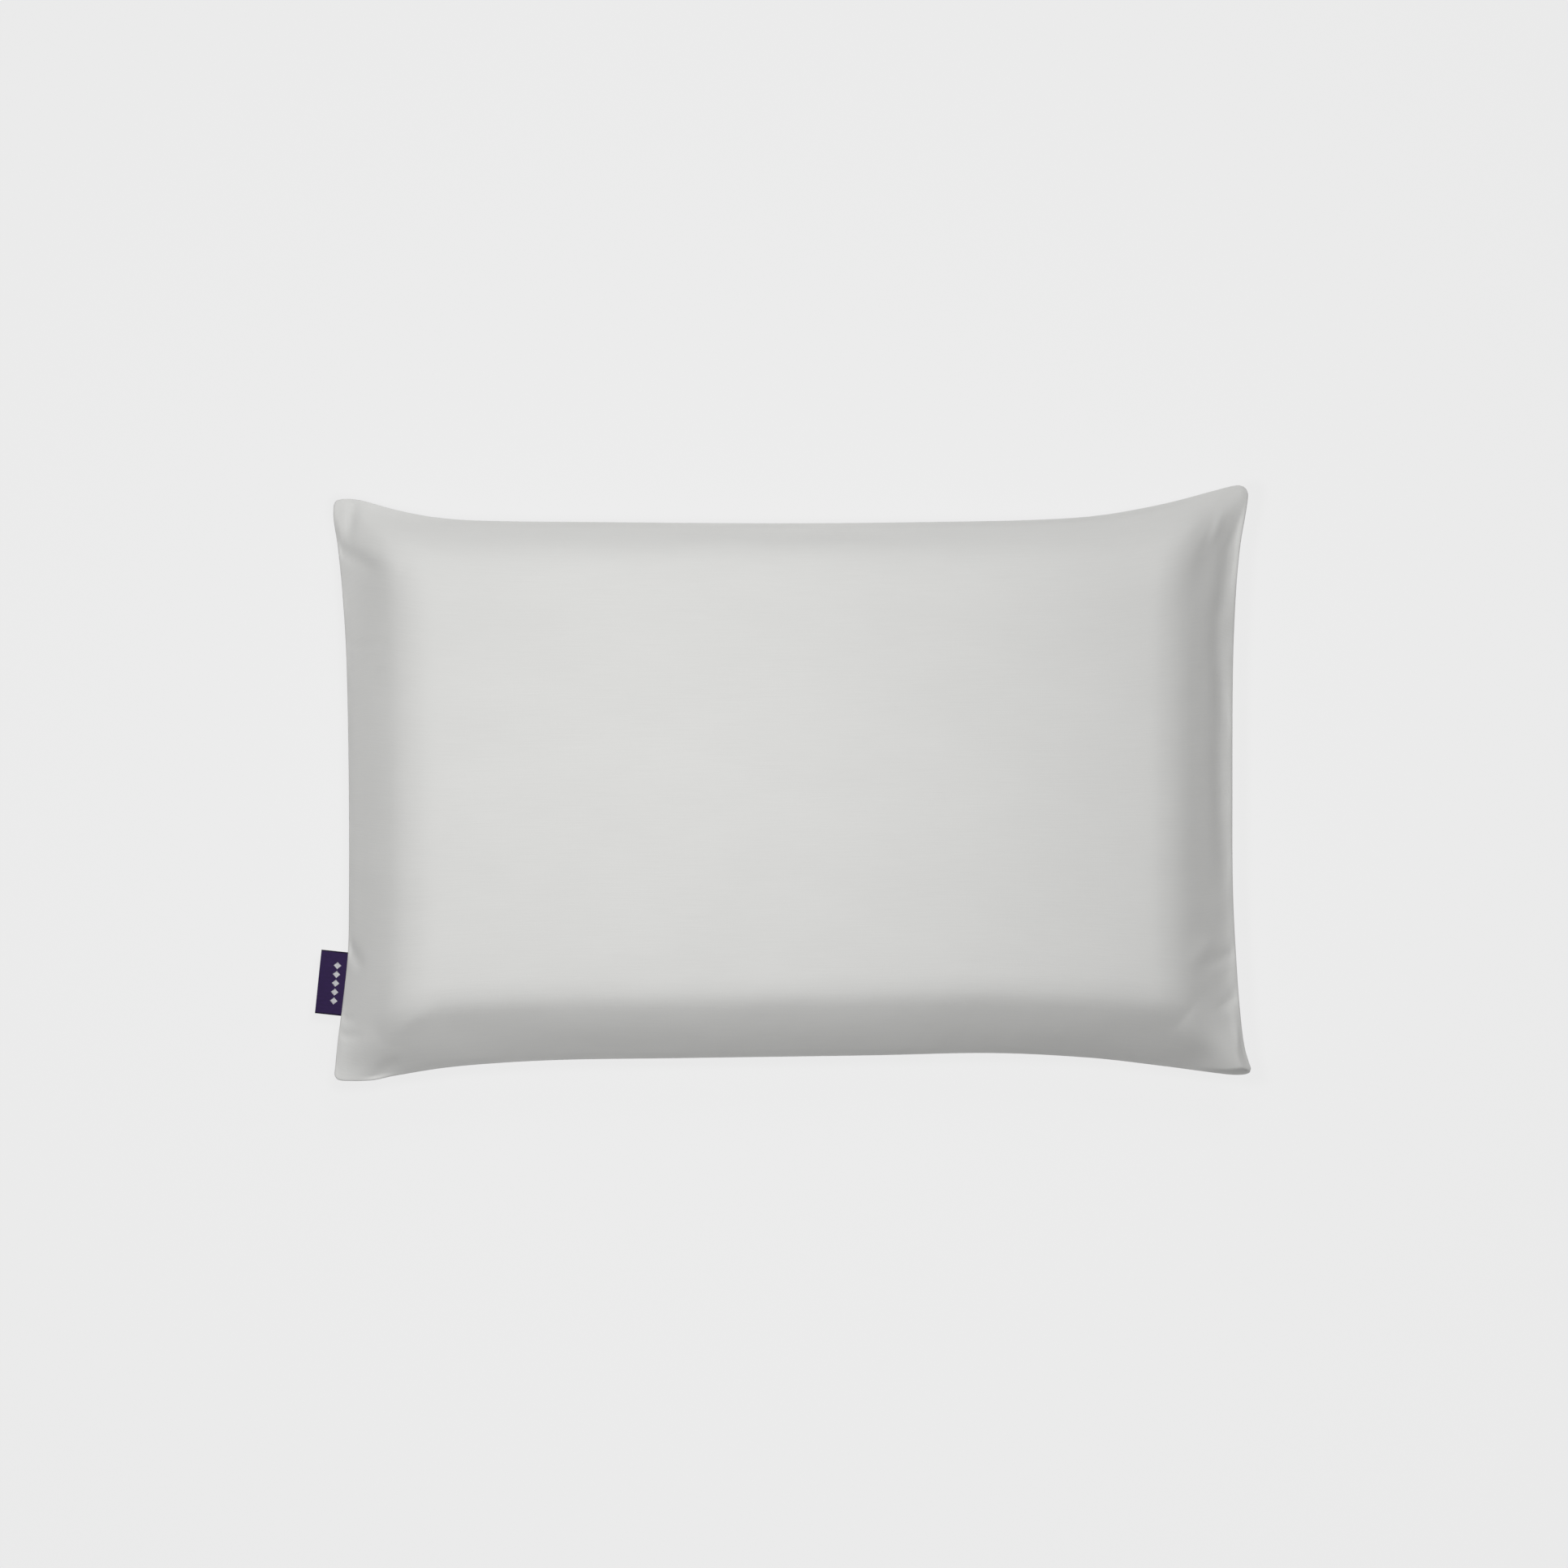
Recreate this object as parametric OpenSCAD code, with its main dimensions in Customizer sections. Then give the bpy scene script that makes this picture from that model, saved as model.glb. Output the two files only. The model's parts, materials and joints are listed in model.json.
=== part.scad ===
// Small bed pillow: a foam core in a zipped knitted liner, inside an envelope pillowcase.
// The pillow lies on its back face. The origin is the middle of that face, at the resting surface.
// +Z points up, +X runs along the long sides and +Y across them, towards the zip of the liner.

/* [Pillow] */
// Length over the seams, between the middles of the short sides
pillow_length = 498; // [470:1:560]
// Width over the seams, between the middles of the long sides
pillow_width = 301.4; // [290:0.2:340]
// Thickness over the two flat faces
pillow_thickness = 58; // [56:1:66]

/* [Pillowcase] */
// Thickness of the sateen cloth
cloth = 0.5; // [0.4:0.05:0.6]
// Width of the sloping band from the seam up to the flat face
case_slope = 33; // [30:1:36]
// How far the sewn edge stands out from the filled form
seam_ridge = 1; // [0.8:0.1:1.5]
// Length of long side over which a corner is drawn out
ear_reach_long = 90; // [70:1:110]
// Length of short side over which a corner is drawn out
ear_reach_short = 75; // [60:1:90]
// Free edge of the outer back panel, from the middle of the back
flap_edge = -25; // [-40:1:-10]
// How far the two back panels lie over each other
flap_overlap = 107; // [90:1:120]
// Width of the hem along each free edge
hem_width = 18; // [12:1:25]

/* [Side label] */
// Width of the ribbon, along the seam
label_width = 36; // [20:1:45]
// How far the folded ribbon stands out of the seam
label_length = 14.6; // [8:0.1:20]
// Middle of the label along the short side
label_place = -108; // [-112:1:-60]
// Slant of the seam at the label, in degrees
label_tilt = 6; // [0:0.5:8]

/* [Liner and core] */
// Distance between the filled form of the case and the widest line of the liner
liner_gap = 8; // [7:0.5:10]
// Thickness of the knitted cloth
knit = 1; // [0.6:0.1:1.2]
// Radius of the liner's corners, seen from above
liner_corner = 34; // [20:1:40]
// Diameter of the ventilation holes in the foam
vent_d = 6; // [3:0.5:10]
// Distance between neighbouring ventilation holes
vent_pitch = 45; // [30:1:60]

/* [Zip] */
// Half of the length of the coils
zip_half = 195; // [150:1:200]
// Height of one tape
tape_h = 10; // [8:0.5:10]
// Length of the slider
slider_l = 9; // [7:0.5:11]
// Length of the pull tab beyond its pivot
pull_l = 15; // [12:0.5:16]

/* [Hidden] */
$fn = 48;

big = 2 * pillow_length;            // larger than the whole pillow
seam_z = pillow_thickness / 2;      // height of all the edge seams
half_l = pillow_length / 2;
half_w = pillow_width / 2;
layer_gap = 0.3;                    // air between two layers of cloth
thread = 0.24;                      // thickness of a pressed sewing thread
thread_w = 0.8;                     // width of a row of stitches
slope_steps = 8;                    // flats along each sloping band

// Filled form of the case: the sewn ridge stands out beyond it.
form_x = half_l - seam_ridge;
form_y = half_w - seam_ridge;
case_power = 1.6;                   // 2 gives an ellipse, 1 a straight slope

// How far each drawn-out corner stands out along X and along Y: back left, back right, front right, front left.
ears = [[8, 12.3], [8.5, 21.3], [10, 9.3], [7.6, 12.3]];
long_power = 2;                     // how suddenly the long sides swing out towards the corner
short_power = 1.5;                  // the same for the short sides
corner_cut = 3;                     // the corner's tip is rounded off over this length
outline_steps = 14;                 // points along one drawn-out stretch

// Liner: inside the case, with the zip in a flat wall on its +Y side.
liner_x = form_x - liner_gap;
liner_y = form_y - liner_gap;
liner_rise = seam_z - 2;
liner_slope = 31;
liner_wall = liner_y - 2.7;         // outside of the wall that holds the zip
liner_slot = 4;                     // half of the height of the slot between the liner's two edges
core_gap = 0.5;                     // between the liner and the foam
core_wall = liner_wall - 3.6;

// Care label, hanging from the liner's seam on its -X side.
care_gap = 0.3;
care_t = 0.3;
care_w = 26;
care_h = 10;
care_place = 45;                    // its near edge, from the middle of the side

// Zip, measured from the liner's wall and the seam's height.
tape = 0.5;
tape_y = liner_wall - knit - 1;     // back of the tapes
tape_from = 0.9;                    // from the middle of the zip to the tape's edge
coil_from = 0.6;                    // from the middle of the zip to the coil
coil_h = 2;
coil_t = 1.8;
coil_y = tape_y + tape + 0.05;
slider_x = zip_half - slider_l / 2 - 0.5;
slider_w = 7;
plate = 0.8;
slider_front = coil_y + coil_t + 0.25;
slider_back = tape_y - 0.3 - plate;
crown_w = 1.6;
crown_h = 2.8;
crown_half = 3.4;
crown_bar = 0.7;
pivot_y = slider_front + plate + 1.1;
pivot_r = 0.5;

// --- shapes shared by several parts -------------------------------------------------------------

// One quarter of a cushion's section, from its widest point up to its flat face.
function slope(half, edge, rise, power) = [
    for (i = [0:slope_steps])
        let (a = 90 * i / slope_steps)
        [half - edge + edge * pow(cos(a), 2 / power), rise * pow(sin(a), 2 / power)]
];

// The whole section: two flat faces joined by two sloping sides.
function section(half, edge, rise, power) =
    let (arc = slope(half, edge, rise, power), last = len(arc) - 1)
    concat(
        arc,
        [for (i = [last:-1:0]) [-arc[i][0], arc[i][1]]],
        [for (i = [1:last]) [-arc[i][0], -arc[i][1]]],
        [for (i = [last:-1:1]) [arc[i][0], -arc[i][1]]]
    );

// A cushion form about the seam's height: the same section along X and along Y.
module cushion(half_x, half_y, edge, rise, power) {
    translate([0, 0, seam_z])
    intersection() {
        rotate([90, 0, 0])
            linear_extrude(height = 2 * half_y + 2, center = true)
                polygon(section(half_x, edge, rise, power));
        rotate([90, 0, 90])
            linear_extrude(height = 2 * half_x + 2, center = true)
                polygon(section(half_y, edge, rise, power));
    }
}

// The case's filled form, drawn in by inset.
module case_form(inset) {
    cushion(form_x - inset, form_y - inset, case_slope - inset, seam_z - inset, case_power);
}

// The liner's form, drawn in by inset, with round corners and a flat wall at wall_y.
module liner_form(inset, wall_y) {
    intersection() {
        cushion(liner_x - inset, liner_y - inset, liner_slope - inset, liner_rise - inset, 2);
        linear_extrude(height = pillow_thickness)
            liner_plan(inset, wall_y);
    }
}

// The liner seen from above.
module liner_plan(inset, wall_y) {
    r = liner_corner - inset;
    x = liner_x - inset;
    y = liner_y - inset;
    intersection() {
        union() {
            square([2 * x, 2 * (y - r)], center = true);
            square([2 * (x - r), 2 * y], center = true);
            for (sx = [-1, 1], sy = [-1, 1])
                translate([sx * (x - r), sy * (y - r)])
                    circle(r = r);
        }
        translate([-big / 2, wall_y - big])
            square(big);
    }
}

// How strongly a place is drawn out, from 1 at the corner to 0 at the end of its reach.
function drawn_long(distance) = pow(max(0, 1 - distance / ear_reach_long), long_power);
function drawn_short(distance) = pow(max(0, 1 - distance / ear_reach_short), short_power);

// Distances from a corner at which a side has its points, nearest first.
function ear_steps(reach) = [
    for (i = [0:outline_steps])
        corner_cut + (reach - corner_cut) * i / outline_steps
];

// The stretch of outline around one corner, anticlockwise seen from above.
function corner_points(sx, sy, ear, inset) =
    let (
        x = half_l - inset,
        y = half_w - inset,
        long_side = [
            for (d = ear_steps(ear_reach_long))
                [sx * (x - d + ear[0] * drawn_long(d)), sy * (y + ear[1] * drawn_long(d))]
        ],
        short_side = [
            for (d = ear_steps(ear_reach_short))
                [sx * (x + ear[0] * drawn_short(d)), sy * (y - d + ear[1] * drawn_short(d))]
        ],
        first = sx == sy ? short_side : long_side,
        second = sx == sy ? long_side : short_side
    )
    concat([for (i = [outline_steps:-1:0]) first[i]], second);

// The sewn outline of the case with its four ears, seen from above, drawn in by inset.
module case_outline(inset) {
    polygon(concat(
        corner_points(1, 1, ears[1], inset),
        corner_points(-1, 1, ears[0], inset),
        corner_points(-1, -1, ears[3], inset),
        corner_points(1, -1, ears[2], inset)
    ));
}

// A row of stitches along the long sides, at a height and a place across the pillow.
module stitch_row(length, y, z) {
    translate([-length / 2, y - thread_w / 2, z])
        cube([length, thread_w, thread]);
}

// --- pillowcase -----------------------------------------------------------------------------------

// Everything between two heights and from one place across the pillow to another.
module slab(y_from, y_to, z_from, z_to) {
    translate([-big / 2, y_from, z_from])
        cube([big, y_to - y_from, z_to - z_from]);
}

// The flat sewn edge of one panel, from height z up, around a form drawn in by inset.
module sewn_edge(z, inset) {
    difference() {
        translate([0, 0, z])
            linear_extrude(height = cloth)
                case_outline(0);
        case_form(inset + cloth / 2);
    }
}

module case_front() {
    color("#d8d8d6")
    union() {
        intersection() {
            difference() {
                case_form(0);
                case_form(cloth);
            }
            slab(-big / 2, big / 2, seam_z + layer_gap / 2, big);
        }
        sewn_edge(seam_z + layer_gap / 2, 0);
    }
}

// One panel of the back: from y_from to y_to, drawn in by inset, with its sewn edge up to edge_to.
module back_panel(y_from, y_to, inset, edge_from, edge_to) {
    union() {
        intersection() {
            difference() {
                case_form(inset);
                case_form(inset + cloth);
            }
            slab(y_from, y_to, -1, seam_z - layer_gap / 2);
        }
        intersection() {
            sewn_edge(seam_z - layer_gap / 2 - cloth, inset);
            slab(edge_from, edge_to, 0, big);
        }
    }
}

module case_back_upper() {
    color("#d4d4d2")
        back_panel(flap_edge, big / 2, 0, flap_edge, big / 2);
}

module case_back_lower() {
    color("#cfcfcd")
        back_panel(-big / 2, flap_edge + flap_overlap, cloth + layer_gap, -big / 2, flap_edge - layer_gap);
}

module case_seam_thread() {
    color("#bfbfbd")
    translate([0, 0, seam_z - thread / 2])
        linear_extrude(height = thread)
            difference() {
                case_outline(seam_ridge + 0.2);
                case_outline(seam_ridge + 0.2 + thread_w);
            }
}

module hem_thread_upper() {
    color("#bfbfbd")
        stitch_row(2 * (form_x - case_slope), flap_edge + hem_width, cloth + 0.03);
}

module hem_thread_lower() {
    color("#bfbfbd")
        stitch_row(2 * (form_x - case_slope), flap_edge + flap_overlap - hem_width, 2 * cloth + layer_gap + 0.03);
}

// --- side label -----------------------------------------------------------------------------------

label_layer = 0.4;                  // thickness of the ribbon
label_t = 1;                        // both layers and the gap between them
label_pivot = half_l + ears[3][0] * drawn_short(half_w + label_place) + 1.2;
motif_size = 2.6;
motif_pitch = 5;
motif_height = 0.15;

// Puts a shape at the label's fold line, with its own Y along the seam and its own -X pointing out.
module at_label() {
    translate([-label_pivot, label_place, seam_z])
        rotate([0, 0, -label_tilt])
            children();
}

module side_label() {
    color("#31224a")
    at_label()
        rotate([90, 0, 0])
            linear_extrude(height = label_width, center = true)
                difference() {
                    union() {
                        circle(r = label_t / 2);
                        translate([label_t / 2 - label_length, -label_t / 2])
                            square([label_length - label_t / 2, label_t]);
                        translate([label_t / 2 - label_length, 0])
                            circle(r = label_t / 2);
                    }
                    translate([label_t / 2 - label_length, label_layer - label_t / 2])
                        square([label_length - 3, label_t - 2 * label_layer]);
                }
}

module label_motif() {
    color("white")
    at_label()
        for (face = [-1, 1], i = [-2:2])
            translate([-4, i * motif_pitch, face * (label_t + motif_height) / 2])
                rotate([0, 0, 45])
                    cube([motif_size, motif_size, motif_height], center = true);
}

// --- liner ----------------------------------------------------------------------------------------

// The slot in the liner's wall that shows the zip.
module zip_slot() {
    translate([-zip_half - 6, liner_wall - 4, seam_z - liner_slot])
        cube([2 * (zip_half + 6), 8, 2 * liner_slot]);
}

module liner_shell() {
    difference() {
        liner_form(0, liner_wall);
        liner_form(knit, liner_wall - knit);
        zip_slot();
    }
}

module liner_top() {
    color("#f2f0ea")
    intersection() {
        liner_shell();
        slab(-big / 2, big / 2, seam_z + layer_gap / 2, big);
    }
}

module liner_bottom() {
    color("#ece9e2")
    intersection() {
        liner_shell();
        slab(-big / 2, big / 2, 0, seam_z - layer_gap / 2);
    }
}

module liner_seam_thread() {
    color("#d9d5cb")
    translate([0, 0, seam_z - thread / 2])
        linear_extrude(height = thread)
            difference() {
                liner_plan(0, liner_wall);
                liner_plan(thread_w, liner_wall - thread_w);
                translate([-zip_half - 6, 0])
                    square([2 * (zip_half + 6), half_w]);
            }
}

module liner_care_label() {
    color("white")
    translate([-liner_x - care_gap - care_t, care_place, seam_z - care_h])
        cube([care_t, care_w, care_h]);
}

// --- zip ------------------------------------------------------------------------------------------

// Shapes for the upper half of the zip; side = -1 mirrors them to the lower half.
module zip_side(side) {
    translate([0, 0, seam_z])
        mirror([0, 0, side < 0 ? 1 : 0])
            children();
}

module tape_half() {
    translate([-zip_half - 10, tape_y, tape_from])
        cube([2 * (zip_half + 10), tape, tape_h]);
}

module coil_half() {
    translate([-zip_half, coil_y, coil_from])
        cube([2 * zip_half, coil_t, coil_h]);
}

module zip_tape_upper() {
    color("#e6e3da") zip_side(1) tape_half();
}

module zip_tape_lower() {
    color("#e6e3da") zip_side(-1) tape_half();
}

module zip_seam_thread() {
    color("#d9d5cb")
    for (side = [-1, 1])
        zip_side(side)
            translate([-zip_half - 6, tape_y + tape + 0.2, 7.5])
                cube([2 * (zip_half + 6), thread, thread_w]);
}

module zip_coil_upper() {
    color("#f4f2ec") zip_side(1) coil_half();
}

module zip_coil_lower() {
    color("#f4f2ec") zip_side(-1) coil_half();
}

// Outline of the slider's two plates, wide where the chain opens.
module slider_outline() {
    polygon([
        [slider_l / 2, -slider_w / 2],
        [slider_l / 2, slider_w / 2],
        [-slider_l / 6, slider_w / 2],
        [-slider_l / 2, slider_w / 2 - 0.7],
        [-slider_l / 2, 0.7 - slider_w / 2],
        [-slider_l / 6, -slider_w / 2]
    ]);
}

// A slider plate with its back at y.
module slider_plate(y) {
    translate([0, y + plate, 0])
        rotate([90, 0, 0])
            linear_extrude(height = plate)
                slider_outline();
}

module zip_slider() {
    front_y = slider_front + plate;
    color("#b9bcc0")
    translate([slider_x, 0, seam_z])
    union() {
        slider_plate(slider_front);
        slider_plate(slider_back);
        // post between the two coils
        translate([-1.5, slider_back + plate / 2, -0.3])
            cube([3, slider_front - slider_back, 0.6]);
        // lips that hold the coils, in front of the tapes
        for (side = [-1, 1])
            translate([-slider_l / 6, slider_front - 1, side * (slider_w / 2 - 0.3) - 0.3])
                cube([slider_l / 6 + slider_l / 2, 1.2, 0.6]);
        // crown that carries the pull
        for (end = [-1, 1])
            translate([end * crown_half - 0.5, front_y - 0.2, -crown_w / 2])
                cube([1, crown_h, crown_w]);
        translate([-crown_half - 0.5, front_y + crown_h - crown_bar - 0.2, -crown_w / 2])
            cube([2 * crown_half + 1, crown_bar, crown_w]);
    }
}

module zip_pull() {
    arm = 1;
    color("#b9bcc0")
    translate([slider_x, pivot_y, seam_z])
    union() {
        cylinder(r = pivot_r, h = 4.6, center = true);
        for (side = [-1, 1])
            translate([0, -arm / 2, side * 1.8 - 0.5])
                cube([6.5, arm, 1]);
        translate([6, -arm / 2, -2.3])
            cube([pull_l - 8.3, arm, 4.6]);
        translate([pull_l - 2.3, 0, 0])
            rotate([90, 0, 0])
                cylinder(r = 2.3, h = arm, center = true);
    }
}

module zip_top_stops() {
    color("#b9bcc0")
    for (side = [-1, 1])
        zip_side(side)
            translate([zip_half + 0.1, coil_y, 0.5])
                cube([2.5, coil_t, coil_h]);
}

module zip_bottom_stop() {
    color("#b9bcc0")
    translate([-zip_half - 2.6, coil_y, seam_z - coil_from - coil_h])
        cube([2.5, coil_t, 2 * (coil_from + coil_h)]);
}

// --- core -----------------------------------------------------------------------------------------

module foam_core() {
    across = floor((liner_x - liner_slope) / vent_pitch);
    deep = floor((liner_y - liner_slope) / vent_pitch);
    color("#f6ecc9")
    difference() {
        liner_form(knit + core_gap, core_wall);
        for (i = [-across:across], j = [-deep:deep])
            translate([i * vent_pitch, j * vent_pitch, -1])
                cylinder(d = vent_d, h = pillow_thickness + 2);
    }
}

case_front();
case_back_upper();
case_back_lower();
case_seam_thread();
hem_thread_upper();
hem_thread_lower();
side_label();
label_motif();
liner_top();
liner_bottom();
liner_seam_thread();
liner_care_label();
zip_tape_upper();
zip_tape_lower();
zip_seam_thread();
zip_coil_upper();
zip_coil_lower();
zip_slider();
zip_pull();
zip_top_stops();
zip_bottom_stop();
foam_core();
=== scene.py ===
"""A small bed pillow: a foam core in a zipped knitted liner, inside an envelope pillowcase.

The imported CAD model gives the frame, the bodies and the places. Lengths are in millimetres until a
mesh is made. The case is draped by a cloth simulation. Its folds and seams are then added in code.
"""

import itertools
import json
import math

import bpy
import numpy as np
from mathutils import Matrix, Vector


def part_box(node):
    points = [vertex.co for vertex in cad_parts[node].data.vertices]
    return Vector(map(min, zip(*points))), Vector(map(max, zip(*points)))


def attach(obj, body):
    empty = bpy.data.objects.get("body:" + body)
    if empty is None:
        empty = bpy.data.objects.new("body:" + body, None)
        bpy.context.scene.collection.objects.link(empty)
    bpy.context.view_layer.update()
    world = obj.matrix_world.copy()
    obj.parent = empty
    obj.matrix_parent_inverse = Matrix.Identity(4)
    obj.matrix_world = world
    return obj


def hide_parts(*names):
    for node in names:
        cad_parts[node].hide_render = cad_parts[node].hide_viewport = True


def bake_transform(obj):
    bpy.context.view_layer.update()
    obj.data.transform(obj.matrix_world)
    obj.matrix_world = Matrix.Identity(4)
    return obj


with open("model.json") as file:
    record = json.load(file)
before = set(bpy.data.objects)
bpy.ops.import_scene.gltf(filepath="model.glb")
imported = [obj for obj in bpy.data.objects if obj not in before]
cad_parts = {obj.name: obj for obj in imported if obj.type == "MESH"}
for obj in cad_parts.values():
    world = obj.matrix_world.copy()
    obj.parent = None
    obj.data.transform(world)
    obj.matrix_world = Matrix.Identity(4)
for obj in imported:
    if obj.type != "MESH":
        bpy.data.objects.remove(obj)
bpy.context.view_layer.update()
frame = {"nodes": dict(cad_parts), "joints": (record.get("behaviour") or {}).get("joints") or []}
MM = 0.001


# --- places from the frame ---


def box_mm(node):
    """Lowest and highest corner of a CAD node, in millimetres."""
    low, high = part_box(node)
    return np.array(low) / MM, np.array(high) / MM


TOP = box_mm("case_front")[1][2]
SEAM = TOP / 2
CASE_ROOM = 9.0
LINER_LOW, LINER_HIGH = box_mm("liner_top")
HALF_X = LINER_HIGH[0] + CASE_ROOM
HALF_Y = CASE_ROOM - LINER_LOW[1]
LINER_WALL = LINER_HIGH[1]
LINER_CORNER = 34.0

CLOTH = 0.45
CUT_X = 519.0
CUT_Y = 325.0
GRID_STEP = 5.0
CROWN = 1.5
EDGE_LIFT = 1.5
EDGE_REACH = 0.4
SEAM_GAP = 0.04
RISE = TOP - SEAM
HEM = 18.0
OUTER_HEM_Y = box_mm("case_back_upper")[0][1]
INNER_HEM_Y = box_mm("case_back_lower")[1][1]

# Height of the case over a strip from the seam inwards: (distance from the seam, steepness).
SIDE_SLOPES = {
    "left": [(0, 0.60), (7, 0.80), (16, 0.88), (24, 0.85), (35, 0.40), (51, 0)],
    "right": [(0, 0.1), (4, 0.3), (11, 0.7), (20, 0.97), (25, 0.93), (36, 0.40), (49, 0)],
    "front": [(0, 1.1), (11, 1.0), (27, 0.80), (31, 0.66), (38, 0.22), (47, 0)],
    "back": [(0, 1.3), (11, 1.12), (19, 0.72), (29, 0.26), (50, 0)],
}

# The sewn outline, seen from above: (place along the side, distance outside the straight seam).
BACK_SIDE = [
    (-256.7, 11.6), (-255.6, 13.0), (-252, 13.8), (-243, 13.2), (-223, 7.8), (-202, 3.7), (-175, 1.6),
    (-110, 0.8), (0, 0.1), (90, 1.0), (141, 2.2), (175, 4.7), (210, 11.0), (237, 18.0), (248, 20.9),
    (252.5, 21.5), (255.2, 20.8),
]
FRONT_SIDE = [
    (-256.2, 10.6), (-255.0, 12.0), (-251, 12.7), (-236, 12.4), (-222, 9.6), (-188, 4.5), (-134, 1.0),
    (-65, -0.1), (45, -1.7), (113, -3.0), (168, -0.4), (209, 4.2), (240, 8.3), (250, 9.3), (256, 9.0),
    (258.3, 8.2),
]
LEFT_SIDE = [
    (-161.3, 7.2), (-158.5, 7.7), (-143, 6.4), (-121, 3.6), (-93, 0.6), (-70, -0.1), (0, -0.1), (72, 1.2),
    (110, 3.4), (138, 6.2), (153, 8.5), (159, 8.4), (162.3, 7.7),
]
RIGHT_SIDE = [
    (-158.9, 9.3), (-156.6, 10.1), (-153.5, 9.4), (-145, 7.0), (-131, 5.0), (-102, 2.6), (-56, 0.3), (0, 0),
    (70, 0.3), (112, 2.0), (138, 4.4), (156, 7.4), (166, 8.8), (169.5, 7.9), (171.5, 6.2),
]


# --- curves and grids ---


def distances(line):
    """Distance along a line of points, from its first point to each."""
    return np.concatenate([[0], np.cumsum(np.linalg.norm(np.diff(line, axis=0), axis=1))])


def smooth_curve(points, samples=3000):
    """A smooth curve through the points, and the distance along it."""
    p = np.array(points, float)
    knots = np.concatenate([[0], np.cumsum(np.linalg.norm(np.diff(p, axis=0), axis=1) ** 0.5)])
    slopes = np.empty_like(p)
    slopes[1:-1] = (p[2:] - p[:-2]) / (knots[2:] - knots[:-2])[:, None]
    slopes[0] = (p[1] - p[0]) / (knots[1] - knots[0])
    slopes[-1] = (p[-1] - p[-2]) / (knots[-1] - knots[-2])
    at = np.linspace(0, knots[-1], samples)
    i = np.clip(np.searchsorted(knots, at, side="right") - 1, 0, len(knots) - 2)
    span = (knots[i + 1] - knots[i])[:, None]
    t = (at - knots[i])[:, None] / span
    curve = (
        (2 * t**3 - 3 * t**2 + 1) * p[i]
        + (t**3 - 2 * t**2 + t) * span * slopes[i]
        + (3 * t**2 - 2 * t**3) * p[i + 1]
        + (t**3 - t**2) * span * slopes[i + 1]
    )
    return curve, distances(curve)


def along_curve(curve, share):
    """Points of a curve at the given shares of its length."""
    line, along = curve
    at = np.asarray(share) * along[-1]
    return np.stack([np.interp(at, along, line[:, k]) for k in range(line.shape[1])], 1)


def outline_side(points, axis, sign):
    """One side of the sewn outline as a smooth curve, from the lower end to the higher."""
    half = (HALF_Y if axis == 0 else HALF_X) - EDGE_REACH
    placed = [(a, sign * (half + out)) if axis == 0 else (sign * (half + out), a) for a, out in points]
    return smooth_curve(placed)


SIDES = {
    "back": outline_side(BACK_SIDE, 0, 1),
    "front": outline_side(FRONT_SIDE, 0, -1),
    "left": outline_side(LEFT_SIDE, 1, -1),
    "right": outline_side(RIGHT_SIDE, 1, 1),
}


def slope_profile(knots):
    """(distance from the seam, height, length of cloth) of a strip with that steepness."""
    distance = np.linspace(0, 70, 1401)
    steep = np.interp(distance, [k[0] for k in knots], [k[1] for k in knots])
    height = np.concatenate([[0], np.cumsum((steep[1:] + steep[:-1]) / 2 * np.diff(distance))])
    height *= RISE / height[-1]
    cloth = np.concatenate([[0], np.cumsum(np.hypot(np.diff(distance), np.diff(height)))])
    return distance, height, cloth


PROFILES = {side: slope_profile(knots) for side, knots in SIDE_SLOPES.items()}


def lay_out(cut, half_cut, half_plan, low_side, high_side):
    """Where a place on the cut cloth lies in plan, as a share of half_plan, and its share of the height."""
    share = np.zeros_like(cut)
    height = np.zeros_like(cut)
    for sign, side in ((-1, low_side), (1, high_side)):
        distance, rise, cloth = PROFILES[side]
        chosen = cut * sign >= 0
        from_seam = half_cut - np.abs(cut[chosen])
        on_slope = np.interp(from_seam, cloth, distance)
        inner = (half_plan - distance[-1]) * np.abs(cut[chosen]) / (half_cut - cloth[-1])
        share[chosen] = sign * np.where(from_seam > cloth[-1], inner, half_plan - on_slope) / half_plan
        height[chosen] = np.where(from_seam > cloth[-1], 1.0, np.interp(on_slope, distance, rise) / RISE)
    return share, height


def patch(share_x, share_y, sides=SIDES):
    """Fills an outline: plan positions for shares from 0 to 1 along and across it."""
    u, v = share_x[:, None, None], share_y[None, :, None]
    front, back = (along_curve(sides[s], share_x)[:, None] for s in ("front", "back"))
    left, right = (along_curve(sides[s], share_y)[None] for s in ("left", "right"))
    corners = (
        (1 - u) * (1 - v) * front[0, 0]
        + u * (1 - v) * front[-1, 0]
        + (1 - u) * v * back[0, 0]
        + u * v * back[-1, 0]
    )
    return (1 - v) * front + v * back + (1 - u) * left + u * right - corners


def crown(x, y):
    """How far the flat face bulges in its middle."""
    return CROWN * np.clip(1 - (x / HALF_X) ** 2, 0, 1) * np.clip(1 - (y / HALF_Y) ** 2, 0, 1)


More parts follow.
